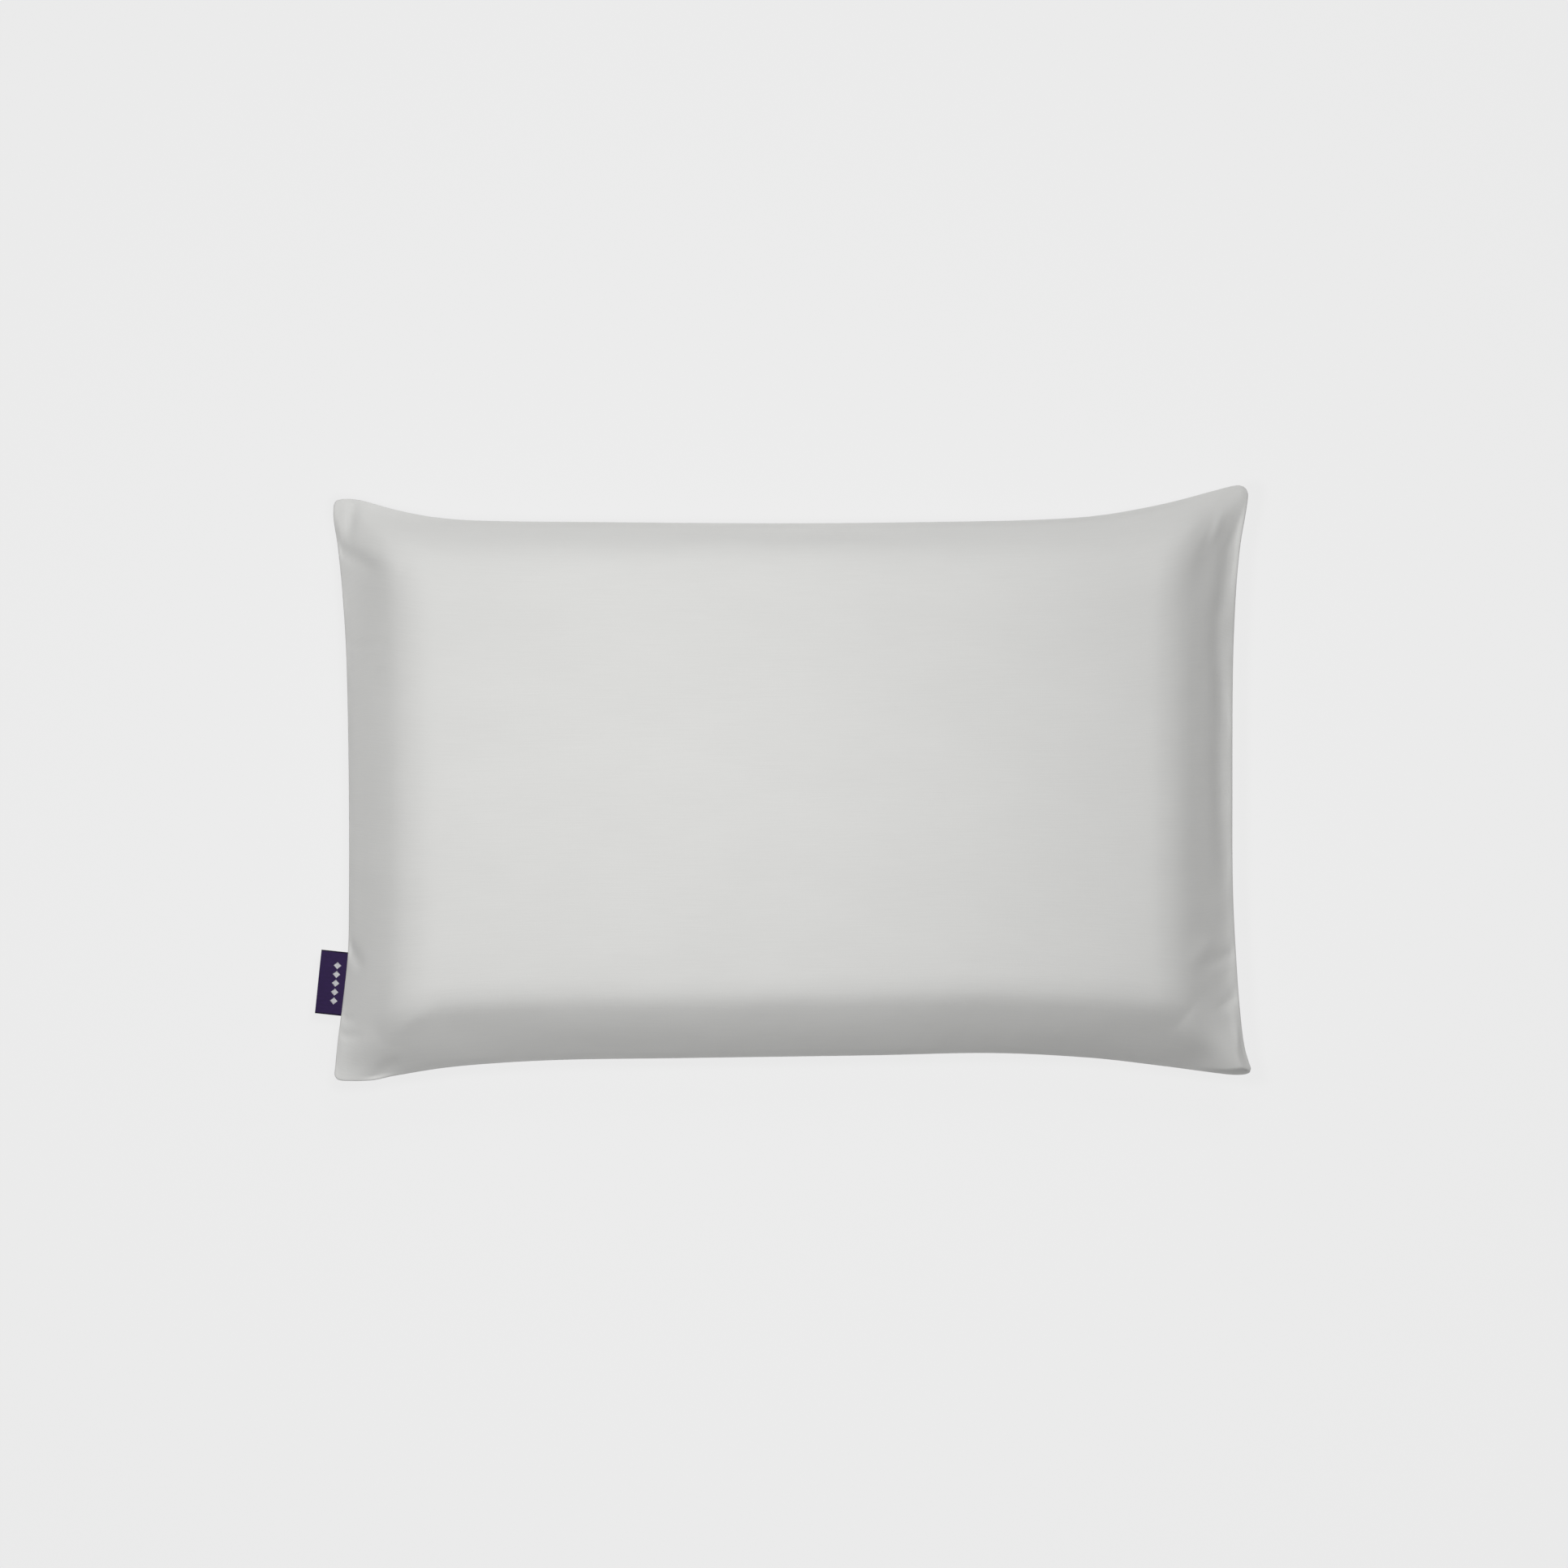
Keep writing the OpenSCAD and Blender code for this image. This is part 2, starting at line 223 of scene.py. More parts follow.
def start_shape():
    """The case's front before it is draped, and the flat cut, as grids of points."""
    count_x, count_y = round(CUT_X / GRID_STEP) + 1, round(CUT_Y / GRID_STEP) + 1
    cut_x = np.linspace(-CUT_X / 2, CUT_X / 2, count_x)
    cut_y = np.linspace(-CUT_Y / 2, CUT_Y / 2, count_y)
    share_x, rise_x = lay_out(cut_x, CUT_X / 2, HALF_X, "left", "right")
    share_y, rise_y = lay_out(cut_y, CUT_Y / 2, HALF_Y, "front", "back")
    even = patch(np.linspace(0, 1, count_x), np.linspace(0, 1, count_y))
    shaped = patch((share_x + 1) / 2, (share_y + 1) / 2)
    reach = 12.0
    near_x = np.exp(-(((CUT_X / 2 - np.abs(cut_x)) / reach) ** 2))[:, None, None]
    near_y = np.exp(-(((CUT_Y / 2 - np.abs(cut_y)) / reach) ** 2))[None, :, None]
    # along a seam the cloth keeps its own length, and further in it follows the form
    along_x = patch(np.linspace(0, 1, count_x), (share_y + 1) / 2)
    along_y = patch((share_x + 1) / 2, np.linspace(0, 1, count_y))
    plan = shaped + near_y * (along_x - shaped) + near_x * (along_y - shaped)
    plan += near_x * near_y * (even - along_x - along_y + shaped)
    height = (RISE - CROWN) * rise_x[:, None] * rise_y[None] + crown(plan[..., 0], plan[..., 1])
    start = np.concatenate([plan, (SEAM + height)[..., None]], -1)
    flare = 1 + 0.008 * (np.abs(cut_x) / (CUT_X / 2)) ** 6
    flat = np.stack(np.broadcast_arrays(cut_x[:, None], cut_y[None] * flare[:, None], SEAM), -1)
    return start, flat


def from_core_edge(x, y):
    """Distance inside the liner's widest line, the short side's share at a corner, and where corners are."""
    qx = np.abs(x) - (LINER_HIGH[0] - LINER_CORNER)
    qy = np.abs(y) - (-LINER_LOW[1] - LINER_CORNER)
    outside = np.hypot(np.clip(qx, 0, None), np.clip(qy, 0, None)) + np.minimum(np.maximum(qx, qy), 0)
    angle = np.arctan2(np.clip(qy, 0, None), np.clip(qx, 0, None))
    return LINER_CORNER - outside, np.cos(angle) ** 2, (qx > 0) & (qy > 0)


def core_height(x, y):
    """Height above the seam of the padding under the case."""
    inside, short, in_corner = from_core_edge(x, y)

    def height(from_seam, place, low, high):
        low_rise, high_rise = (np.interp(from_seam, *PROFILES[side][:2]) for side in (low, high))
        return np.where(place > 0, high_rise, low_rise)

    along_x = (x, "left", "right")
    along_y = (y, "front", "back")
    front_x, front_out = np.transpose(FRONT_SIDE)
    drawn_in = np.where(y > 0, 0, np.interp(x, front_x, np.minimum(front_out, 0)))
    straight = height(HALF_X - np.abs(x), *along_x) * height(HALF_Y - np.abs(y) + drawn_in, *along_y) / RISE
    from_seam = inside + CASE_ROOM
    rounded = height(from_seam, *along_x) * short + height(from_seam, *along_y) * (1 - short)
    form = np.where(in_corner, np.minimum(straight, rounded), straight)
    return form * (RISE - CROWN) / RISE + crown(x, y)


# --- meshes ---


def grid_faces(rows, columns, first=0, closed=False):
    """Quads of a grid of vertices numbered row by row; closed joins the last column to the first."""
    index = first + np.arange(rows * columns).reshape(rows, columns)
    if closed:
        index = np.concatenate([index, index[:, :1]], 1)
    quads = [index[:-1, :-1], index[1:, :-1], index[1:, 1:], index[:-1, 1:]]
    return np.stack(quads, -1).reshape(-1, 4)


def make_mesh(name, points, faces, cut=None):
    """A mesh object from points in millimetres. cut gives each point's place on the flat cloth."""
    mesh = bpy.data.meshes.new(name)
    mesh.from_pydata((np.asarray(points, float) * MM).tolist(), [], [list(map(int, f)) for f in faces])
    mesh.shade_smooth()
    if cut is not None:
        corner = np.zeros(len(mesh.loops), np.int32)
        mesh.loops.foreach_get("vertex_index", corner)
        layer = mesh.uv_layers.new(name="cut")
        layer.data.foreach_set("uv", (np.asarray(cut)[corner] * MM).astype(np.float32).ravel())
    made = bpy.data.objects.new(name, mesh)
    bpy.context.scene.collection.objects.link(made)
    return made


def finish_piece(made, material, body="pillow", replaces=(), thickness=0.0, offset=-1.0):
    """Gives a piece its material, its thickness, its body and the CAD nodes it stands for."""
    made.data.materials.append(material)
    if thickness:
        shell = made.modifiers.new("Thickness", "SOLIDIFY")
        shell.thickness = thickness * MM
        shell.offset = offset
    if body:
        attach(made, body)
    if replaces:
        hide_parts(*replaces)
    return made


def tube(line, radius, sides=6):
    """Points and faces of a round bar along a line; radius is one number or one for each point."""
    line = np.asarray(line, float)
    radius = np.broadcast_to(np.asarray(radius, float), len(line))
    tangent = np.gradient(line, axis=0)
    tangent /= np.linalg.norm(tangent, axis=1, keepdims=True)
    up = np.where(np.abs(tangent[:, 2:]) > 0.9, [[1.0, 0, 0]], [[0, 0, 1.0]])
    side = np.cross(tangent, up)
    side /= np.linalg.norm(side, axis=1, keepdims=True)
    top = np.cross(side, tangent)
    angle = np.arange(sides) * 2 * math.pi / sides
    ring = np.cos(angle)[None, :, None] * side[:, None] + np.sin(angle)[None, :, None] * top[:, None]
    points = (line[:, None] + radius[:, None, None] * ring).reshape(-1, 3)
    faces = grid_faces(len(line), sides, closed=True)[:, ::-1].tolist()
    faces.append(list(range(sides)))
    faces.append([(len(line) - 1) * sides + k for k in reversed(range(sides))])
    return points, faces


def join(parts):
    """Several (points, faces) as one."""
    points, faces, first = [], [], 0
    for p, f in parts:
        points.append(p)
        faces.extend([[v + first for v in face] for face in f])
        first += len(p)
    return np.concatenate(points), faces


def stitches(line, up, pitch=2.8, length=2.1, radius=0.14, arch=0.16):
    """A row of single stitches along a line, each one arched over the cloth in the direction up."""
    line, up = np.asarray(line, float), np.asarray(up, float)
    along = distances(line)
    share = np.array([-0.5, -0.4, -0.15, 0.15, 0.4, 0.5])
    lift = np.array([-1.0, 0.2, 1.0, 1.0, 0.2, -1.0]) * arch
    width = np.array([0.55, 0.95, 1.0, 1.0, 0.95, 0.55]) * radius
    parts = []
    for middle in np.arange(pitch / 2, along[-1], pitch):
        at = middle + share * length
        points = np.stack([np.interp(at, along, line[:, k]) for k in range(3)], 1)
        normals = np.stack([np.interp(at, along, up[:, k]) for k in range(3)], 1)
        parts.append(tube(points + normals * lift[:, None], width, sides=5))
    return join(parts)


# --- the draped case ---


def drape(start, flat, frames=24):
    """Runs the cloth simulation of a sewn panel over the padding and returns where its points end up."""
    rows, columns = start.shape[:2]
    panel = make_mesh("drape_panel", start.reshape(-1, 3), grid_faces(rows, columns))
    edge = np.ones((rows, columns), bool)
    edge[1:-1, 1:-1] = False
    seam = panel.vertex_groups.new(name="seam")
    seam.add(np.flatnonzero(edge.ravel()).tolist(), 1.0, "REPLACE")
    panel.shape_key_add(name="Basis")
    cut = panel.shape_key_add(name="cut")
    cut.data.foreach_set("co", (flat * MM).astype(np.float32).ravel())
    cut.value = 0
    count_x, count_y, margin = 97, 57, 2
    x = np.linspace(LINER_LOW[0] - margin, LINER_HIGH[0] + margin, count_x)
    y = np.linspace(LINER_LOW[1] - margin, margin - LINER_LOW[1], count_y)
    x, y = np.meshgrid(x, y, indexing="ij")
    z = np.where(from_core_edge(x, y)[0] < 0, SEAM - 10, SEAM + core_height(x, y) - 1)
    core = make_mesh("drape_core", np.stack([x, y, z], -1).reshape(-1, 3), grid_faces(count_x, count_y))
    core.modifiers.new("Collision", "COLLISION")
    core.collision.thickness_outer = 0.0005
    core.collision.thickness_inner = 0.003
    core.collision.cloth_friction = 0
    cloth = panel.modifiers.new("Cloth", "CLOTH")
    settings = {
        "quality": 6,
        "mass": 0.02,
        "vertex_group_mass": "seam",
        "rest_shape_key": cut,
        "tension_stiffness": 80,
        "compression_stiffness": 80,
        "shear_stiffness": 20,
        "bending_stiffness": 5,
        "tension_damping": 10,
        "compression_damping": 10,
        "shear_damping": 10,
        "bending_damping": 2,
        "air_damping": 5,
    }
    for name, value in settings.items():
        setattr(cloth.settings, name, value)
    cloth.settings.effector_weights.gravity = 0.05
    cloth.collision_settings.distance_min = 0.0005
    cloth.point_cache.frame_start = 1
    cloth.point_cache.frame_end = frames
    for number in range(1, frames + 1):
        bpy.context.scene.frame_set(number)
    solved = panel.evaluated_get(bpy.context.evaluated_depsgraph_get())
    ended = np.zeros(rows * columns * 3, np.float32)
    solved.data.vertices.foreach_get("co", ended)
    for helper in (panel, core):
        mesh = helper.data
        bpy.data.objects.remove(helper)
        bpy.data.meshes.remove(mesh)
    bpy.context.scene.frame_set(1)
    return ended.reshape(rows, columns, 3).astype(float) / MM


def even_out(grid, passes):
    """Takes the short waves out of a grid of moves and leaves its edge alone."""
    grid = grid.copy()
    for _ in range(passes):
        grid[1:-1, 1:-1] = (
            4 * grid[1:-1, 1:-1]
            + 2 * (grid[:-2, 1:-1] + grid[2:, 1:-1] + grid[1:-1, :-2] + grid[1:-1, 2:])
            + grid[:-2, :-2]
            + grid[:-2, 2:]
            + grid[2:, :-2]
            + grid[2:, 2:]
        ) / 16
    return grid


start, flat = start_shape()
draped = start + even_out(drape(start, flat) - start, 5)


def reader(at, half, count):
    """Weights that read a regular row of points smoothly at the given places on the cut."""
    place = np.clip((np.asarray(at, float) + half) / (2 * half) * (count - 1), 0, count - 1)
    i = np.minimum(place.astype(int), count - 2)
    t = place - i
    weights = np.zeros((len(i), count + 2))
    row = np.arange(len(i))
    weights[row, i] = (-(t**3) + 2 * t**2 - t) / 2
    weights[row, i + 1] = (3 * t**3 - 5 * t**2 + 2) / 2
    weights[row, i + 2] = (-3 * t**3 + 4 * t**2 + t) / 2
    weights[row, i + 3] = (t**3 - t**2) / 2
    weights[:, 1] += 2 * weights[:, 0]
    weights[:, 2] -= weights[:, 0]
    weights[:, -2] += 2 * weights[:, -1]
    weights[:, -3] -= weights[:, -1]
    return weights[:, 1:-1]


def read_case(cut_x, cut_y):
    """Points of the draped front at the given places on its cut, with the outline exactly as drawn."""
    rows, columns = draped.shape[:2]
    to_x, to_y = reader(cut_x, CUT_X / 2, rows), reader(cut_y, CUT_Y / 2, columns)
    points = np.einsum("ai,bj,ijk->abk", to_x, to_y, draped)
    reach = 4.0
    for side, edge, to_edge, share, from_edge in (
        ("front", draped[:, 0], to_x, cut_x / CUT_X, CUT_Y / 2 + cut_y),
        ("back", draped[:, -1], to_x, cut_x / CUT_X, CUT_Y / 2 - cut_y),
        ("left", draped[0], to_y, cut_y / CUT_Y, CUT_X / 2 + cut_x),
        ("right", draped[-1], to_y, cut_y / CUT_Y, CUT_X / 2 - cut_x),
    ):
        move = along_curve(SIDES[side], share + 0.5) - (to_edge @ edge)[:, :2]
        fade = np.exp(-((from_edge / reach) ** 2))
        if side in ("front", "back"):
            points[..., :2] += fade[None, :, None] * move[:, None]
        else:
            points[..., :2] += fade[:, None, None] * move[None]
    return points


def cut_lines(half, step, edge_step=1.0, edge=8.0):
    """Places on the cut from seam to seam, closer together beside the seams."""
    fine = np.arange(0, edge, edge_step)
    middle = np.linspace(-half + edge, half - edge, round(2 * (half - edge) / step) + 1)
    return np.concatenate([-half + fine, middle, half - fine[::-1]])


# Soft folds of the back, in the same places as if it were a front.
BACK_FOLDS = [
    ([(-262, 166), (-246, 152), (-228, 138)], 6.0, 0.8),
    ([(262, 174), (244, 156), (226, 138)], 6.0, 0.9),
    ([(-262, -164), (-244, -150), (-226, -136)], 6.0, 0.8),
    ([(262, -162), (246, -148), (228, -136)], 6.0, 0.8),
    ([(256, 60), (243, 54), (230, 50)], 4.0, -0.6),
    ([(-256, -40), (-243, -46), (-230, -49)], 4.0, -0.5),
    ([(-120, -154), (-114, -140), (-112, -128)], 5.0, -0.5),
    ([(90, 156), (95, 142), (97, 130)], 5.0, -0.5),
]

# Soft folds of the front, seen from above: the line they follow, half width and height.
FRONT_FOLDS = [
    # left end of the back seam
    ([(-246, 172), (-246.5, 158), (-249, 140)], 3.0, -1.0),
    ([(-264, 143), (-254, 136), (-244, 130), (-232, 124)], 3.5, -0.9),
    ([(-266, 154), (-250, 144), (-234, 133), (-218, 124)], 6.0, 1.2),
    ([(-246, 160), (-215, 152), (-180, 148)], 2.6, -0.6),
    # left seam
    ([(-255, 82), (-240, 81.5), (-226, 83)], 1.6, -0.5),
    ([(-237, 66), (-231, 62)], 5.0, -0.35),
    ([(-255, -21), (-243, -22), (-238, -22)], 1.4, -0.25),
    ([(-254, -84), (-247, -89), (-241, -101)], 3.2, -1.1),
    ([(-258, -127), (-251, -128), (-245, -129)], 1.5, -0.7),
    ([(-258, -136), (-249, -138), (-241, -137)], 1.6, -0.7),
    # front left corner
    ([(-240, -166), (-231, -158), (-220, -150)], 4.0, -1.1),
    ([(-258, -152), (-246, -146), (-232, -137)], 7.0, 0.9),
    ([(-226, -141), (-214, -130), (-200, -122)], 4.0, 0.5),
    # back right corner
    ([(262, 176), (244, 155), (232, 140), (222, 126)], 4.5, 0.9),
    ([(266, 166), (253, 151), (245, 134), (241, 114)], 3.4, -0.9),
    ([(243, 158), (240, 148), (236, 138)], 1.8, 0.45),
    ([(238, 152), (234, 142), (229, 131)], 1.8, -0.35),
    # right seam
    ([(256, 148), (248, 128), (243, 112), (240, 96), (239.5, 82), (241, 60), (246, 30)], 4.6, -1.3),
    ([(242, 72), (240.5, 45), (240.5, 15), (241.5, -20), (244, -58)], 4.6, -1.3),
    ([(255, -88), (243, -94), (232, -99)], 3.4, -0.65),
    ([(238, -82), (230, -91), (223, -99)], 4.5, 0.9),
    ([(256, -103), (249, -107), (243, -112)], 3.0, 0.35),
    ([(254, -114), (246, -119), (238, -124)], 3.0, -0.7),
    ([(257, -130), (250, -126), (247, -118)], 2.6, 0.35),
    ([(272, -168), (241, -142), (222, -126)], 12.0, 4.5),
    ([(256, -148), (248, -136), (244, -128)], 2.4, -0.5),
]


def fold_height(x, y, lines):
    """Height that soft folds add at each place: every fold fades out sideways and at its two ends."""
    total = np.zeros_like(x)
    for line, width, height in lines:
        line = np.array(line, float)
        lengths = np.linalg.norm(np.diff(line, axis=0), axis=1)
        nearest = np.full(x.shape, 1e9)
        place = np.zeros_like(x)
        for k, length in enumerate(lengths):
            step = (line[k + 1] - line[k]) / length
            t = np.clip((x - line[k, 0]) * step[0] + (y - line[k, 1]) * step[1], 0, length)
            away = np.hypot(x - line[k, 0] - t * step[0], y - line[k, 1] - t * step[1])
            closer = away < nearest
            place = np.where(closer, (lengths[:k].sum() + t) / lengths.sum(), place)
            nearest = np.minimum(nearest, away)
        total += height * np.exp(-((nearest / width) ** 2)) * np.sin(math.pi * place) ** 0.7
    return total


def ripples(x, y, seed, height, wave):
    """Faint uneven waves, the same in every run."""
    random = np.random.default_rng(seed)
    total = np.zeros_like(x)
    for _ in range(14):
        angle, phase = random.uniform(0, 2 * math.pi, 2)
        length = wave * random.uniform(0.6, 1.8)
        total += np.sin(2 * math.pi * (x * math.cos(angle) + y * math.sin(angle)) / length + phase)
    return height * total / math.sqrt(14)


def seam_distance(cut_x, cut_y):
    """Distance from the nearest seam, over the cut."""
    return np.minimum((CUT_X / 2 - np.abs(cut_x))[:, None], (CUT_Y / 2 - np.abs(cut_y))[None])


def case_surface(cut_x, cut_y, folds, seed):
    """The finished front surface: the drape with its folds, ending a little inside the drawn outline."""
    points = read_case(cut_x, cut_y)
    x, y = points[..., 0], points[..., 1]
    from_seam = seam_distance(cut_x, cut_y)
    held, slack_reach = 2.5, 45
    free = np.clip(from_seam / held, 0, 1)
    steepest = 0.9 * from_seam
    slack = np.exp(-((from_seam / slack_reach) ** 2))
    points[..., 2] += free * np.clip(fold_height(x, y, folds), -steepest, steepest)
    short_waves = slack * ripples(x, y, seed, 0.10, 26)
    points[..., 2] += free * short_waves + free * ripples(x, y, seed + 1, 0.05, 60)
    # the rim stands a little above the seam and rolls down into it
    points[..., 2] += EDGE_LIFT * np.clip(1 - (points[..., 2] - SEAM) / RISE, 0, 1)
    return points


def rim_of(rows, columns, sides=("front", "right", "back", "left")):
    """Grid numbers along the named sides, anticlockwise from above, and their neighbours further in."""
    last_x, last_y = rows - 1, columns - 1
    runs = {
        "front": [(i, 0) for i in range(last_x)],
        "right": [(last_x, j) for j in range(last_y)],
        "back": [(i, last_y) for i in range(last_x, 0, -1)],
        "left": [(0, j) for j in range(last_y, 0, -1)],
    }
    rim = [place for side in sides for place in runs[side]]
    if len(sides) < 4:
        rim.append({"left": (0, 0), "right": (last_x, last_y)}[sides[-1]])
    inner = [(min(max(i, 1), last_x - 1), min(max(j, 1), last_y - 1)) for i, j in rim]
    if len(sides) < 4:
        inner[0] = (inner[0][0], rim[0][1])
        inner[-1] = (inner[-1][0], rim[-1][1])
    return np.array(rim), np.array(inner)


def shifted(values, steps, closed):
    """The values moved along by some steps, round a loop or held at an open line's ends."""
    if closed:
        return np.roll(values, steps, 0)
    index = np.clip(np.arange(len(values)) - steps, 0, len(values) - 1)
    return values[index]


def outward(line, closed):
    """Unit normals of an anticlockwise line, in plan."""
    plan = line[:, :2]
    tangent = shifted(plan, -2, closed) - shifted(plan, 2, closed)
    tangent = tangent + 0.5 * (shifted(plan, -4, closed) - shifted(plan, 4, closed))
    normal = np.stack([tangent[:, 1], -tangent[:, 0]], 1)
    return normal / np.linalg.norm(normal, axis=1, keepdims=True)


def level(directions):
    """Directions in plan as directions in space."""
    return np.concatenate([directions, np.zeros((len(directions), 1))], 1)


def rolled_edge(points, rim, inner, closed):
    """Rows of points that carry a panel's edge round into the seam, from its rim to the hidden lip."""
    edge = points[rim[:, 0], rim[:, 1]]
    behind = points[inner[:, 0], inner[:, 1]]
    fall = behind[:, 2] - edge[:, 2]
    run = np.linalg.norm(behind[:, :2] - edge[:, :2], axis=1)
    slant = np.clip(np.arctan2(fall, np.maximum(run, 0.3)), 0.1, 0.9)
    for _ in range(6):
        slant = (shifted(slant, 1, closed) + slant + shifted(slant, -1, closed)) / 3
    normal = outward(edge, closed)
    drop = edge[:, 2] - SEAM - SEAM_GAP
    end = math.radians(150)  # the heading in which the rim ends, turned under
    rows = []
    for share in np.linspace(0, 1, 8)[1:]:
        heading = slant + share * (end - slant)
        out = EDGE_REACH * (np.sin(heading) - np.sin(slant)) / (1 - np.sin(slant))
        down = drop * (np.cos(slant) - np.cos(heading)) / (np.cos(slant) - math.cos(end))
        rows.append(np.concatenate([edge[:, :2] + out[:, None] * normal, (edge[:, 2] - down)[:, None]], 1))
    lip = rows[-1].copy()
    lip[:, :2] -= normal
    return rows + [lip]


def skirted(grid, cut, rim, rows, closed=True):
    """Points, faces and cut places of a grid with extra rows of points hanging from its rim."""
    count_x, count_y = grid.shape[:2]
    faces = grid_faces(count_x, count_y).tolist()
    points, places = [grid.reshape(-1, 3)], [cut.reshape(-1, 2)]
    rim_cut = cut[rim[:, 0], rim[:, 1]]
    previous = (rim[:, 0] * count_y + rim[:, 1]).tolist()
    first = count_x * count_y
    for number, row in enumerate(rows):
        current = list(range(first, first + len(row)))
        for k in range(len(row) if closed else len(row) - 1):
            n = (k + 1) % len(row)
            faces.append([previous[k], current[k], current[n], previous[n]])
        points.append(row)
        places.append(rim_cut * (1 + 0.0015 * (number + 1)))
        previous = current
        first += len(row)
    return np.concatenate(points), faces, np.concatenate(places)


def wall_rows(edge, foot, shares):
    """Rows of points straight down from an edge towards the height foot, at shares of the way."""
    down = (foot - edge[:, 2])[:, None] * [0, 0, 1]
    return [edge + down * share for share in shares]


def turned_over(points, faces):
    """The same shape upside down about the seam's height."""
    points = points.copy()
    points[..., 2] = 2 * SEAM - points[..., 2]
    return points, [face[::-1] for face in faces]


def cut_places(cut_x, cut_y):
    """The places of a grid on the cut, as a grid of pairs."""
    return np.stack(np.broadcast_arrays(cut_x[:, None], cut_y[None]), -1)


# --- materials ---


class Nodes:
    """A small helper to write a material's node tree."""

    def __init__(self, name, colour, roughness, **sockets):
        self.material = bpy.data.materials.new(name)
        self.material.use_nodes = True
        self.tree = self.material.node_tree
        self.shader = self.tree.nodes["Principled BSDF"]
        self.set(self.shader, "Base Color", (*colour, 1))
        self.set(self.shader, "Roughness", roughness)
        for socket, value in sockets.items():
            self.set(self.shader, socket.replace("_", " "), value)

    def set(self, node, socket, value):
        if isinstance(value, bpy.types.NodeSocket):
            self.tree.links.new(value, node.inputs[socket])
        else:
            node.inputs[socket].default_value = value

    def add(self, kind, out=0, settings=(), **inputs):
        node = self.tree.nodes.new(kind)
        for key, value in dict(settings).items():
            setattr(node, key, value)
        for socket, value in inputs.items():
            key = int(socket[1:]) if socket[0] == "i" and socket[1:].isdigit() else socket.replace("_", " ")
            self.set(node, key, value)
        return node.outputs[out]

    def math(self, operation, a, b=0.0, c=0.0):
        return self.add("ShaderNodeMath", settings={"operation": operation}, i0=a, i1=b, i2=c)

    def stretch(self, vector, x, y, z=1.0):
        return self.add("ShaderNodeMapping", Vector=vector, Scale=(x, y, z))

    def cut(self):
        return self.add("ShaderNodeUVMap", settings={"uv_map": "cut"})

    def place(self):
        return self.add("ShaderNodeTexCoord", out=3)

    def noise(self, vector, scale=1.0, detail=2.0, rough=0.5):
        return self.add("ShaderNodeTexNoise", Vector=vector, Scale=scale, Detail=detail, Roughness=rough)

    def bands(self, vector, period, direction, distortion=0.0, detail_scale=1.0):
        return self.add(
            "ShaderNodeTexWave",
            out=1,
            settings={"bands_direction": direction},
            Vector=vector,
            Scale=2 * math.pi / (20 * period * MM),
            Distortion=distortion,
            Detail=1.0,
            Detail_Scale=detail_scale,
        )

    def mix(self, share, a, b):
        node = self.tree.nodes.new("ShaderNodeMix")
        node.data_type = "RGBA"
        self.tree.links.new(share, node.inputs[0])
        for socket, value in ((6, a), (7, b)):
            if isinstance(value, bpy.types.NodeSocket):
                self.tree.links.new(value, node.inputs[socket])
            else:
                node.inputs[socket].default_value = (*value, 1)
        return node.outputs[2]

    def bump(self, height, distance, strength=1.0):
        made = self.add("ShaderNodeBump", Height=height, Distance=distance * MM, Strength=strength)
        self.set(self.shader, "Normal", made)

    def tint(self, share, colour, dark, light=1.0):
        """The colour, from a darker to a lighter shade of it."""
        self.set(self.shader, "Base Color", self.mix(share, shade(colour, dark), shade(colour, light)))


def shade(colour, factor):
    return tuple(min(1.0, c * factor) for c in colour)


def sateen(name, colour):
    """Light cotton sateen: fine floats across, uneven yarns, a faint sheen."""
    n = Nodes(name, colour, 0.62, Specular_IOR_Level=0.3, Sheen_Weight=0.12, Sheen_Roughness=0.45)
    cut = n.cut()
    weft = n.bands(cut, 0.36, "Y", distortion=2.0, detail_scale=2.0)
    warp = n.bands(cut, 0.42, "X", distortion=1.5, detail_scale=2.0)
    yarns = n.noise(n.stretch(cut, 45, 1500), detail=3.0, rough=0.6)
    uprights = n.noise(n.stretch(cut, 1500, 70), detail=2.0)
    cloudy = n.noise(n.stretch(cut, 14, 30), detail=3.0, rough=0.55)
    weave = n.math("MULTIPLY_ADD", weft, 0.5, n.math("MULTIPLY", warp, 0.25))
    uneven = n.math("MULTIPLY_ADD", yarns, 1.4, n.math("MULTIPLY", uprights, 0.6))
    n.bump(n.math("ADD", weave, uneven), 0.028)
    tone = n.math("MULTIPLY_ADD", yarns, 0.5, n.math("MULTIPLY", cloudy, 0.5))
    ramp = n.add("ShaderNodeMapRange", Value=tone, From_Min=0.3, From_Max=0.7, To_Min=0.0, To_Max=1.0)
    n.tint(ramp, colour, 0.975, 1.02)
    return n.material


def plied(name, colour):
    """Sewing thread: fine twisted ply."""
    n = Nodes(name, colour, 0.6, Sheen_Weight=0.2)
    place = n.place()
    twist = n.bands(place, 0.22, "DIAGONAL", distortion=0.5)
    n.bump(twist, 0.03)
    n.tint(twist, colour, 0.9)
    return n.material


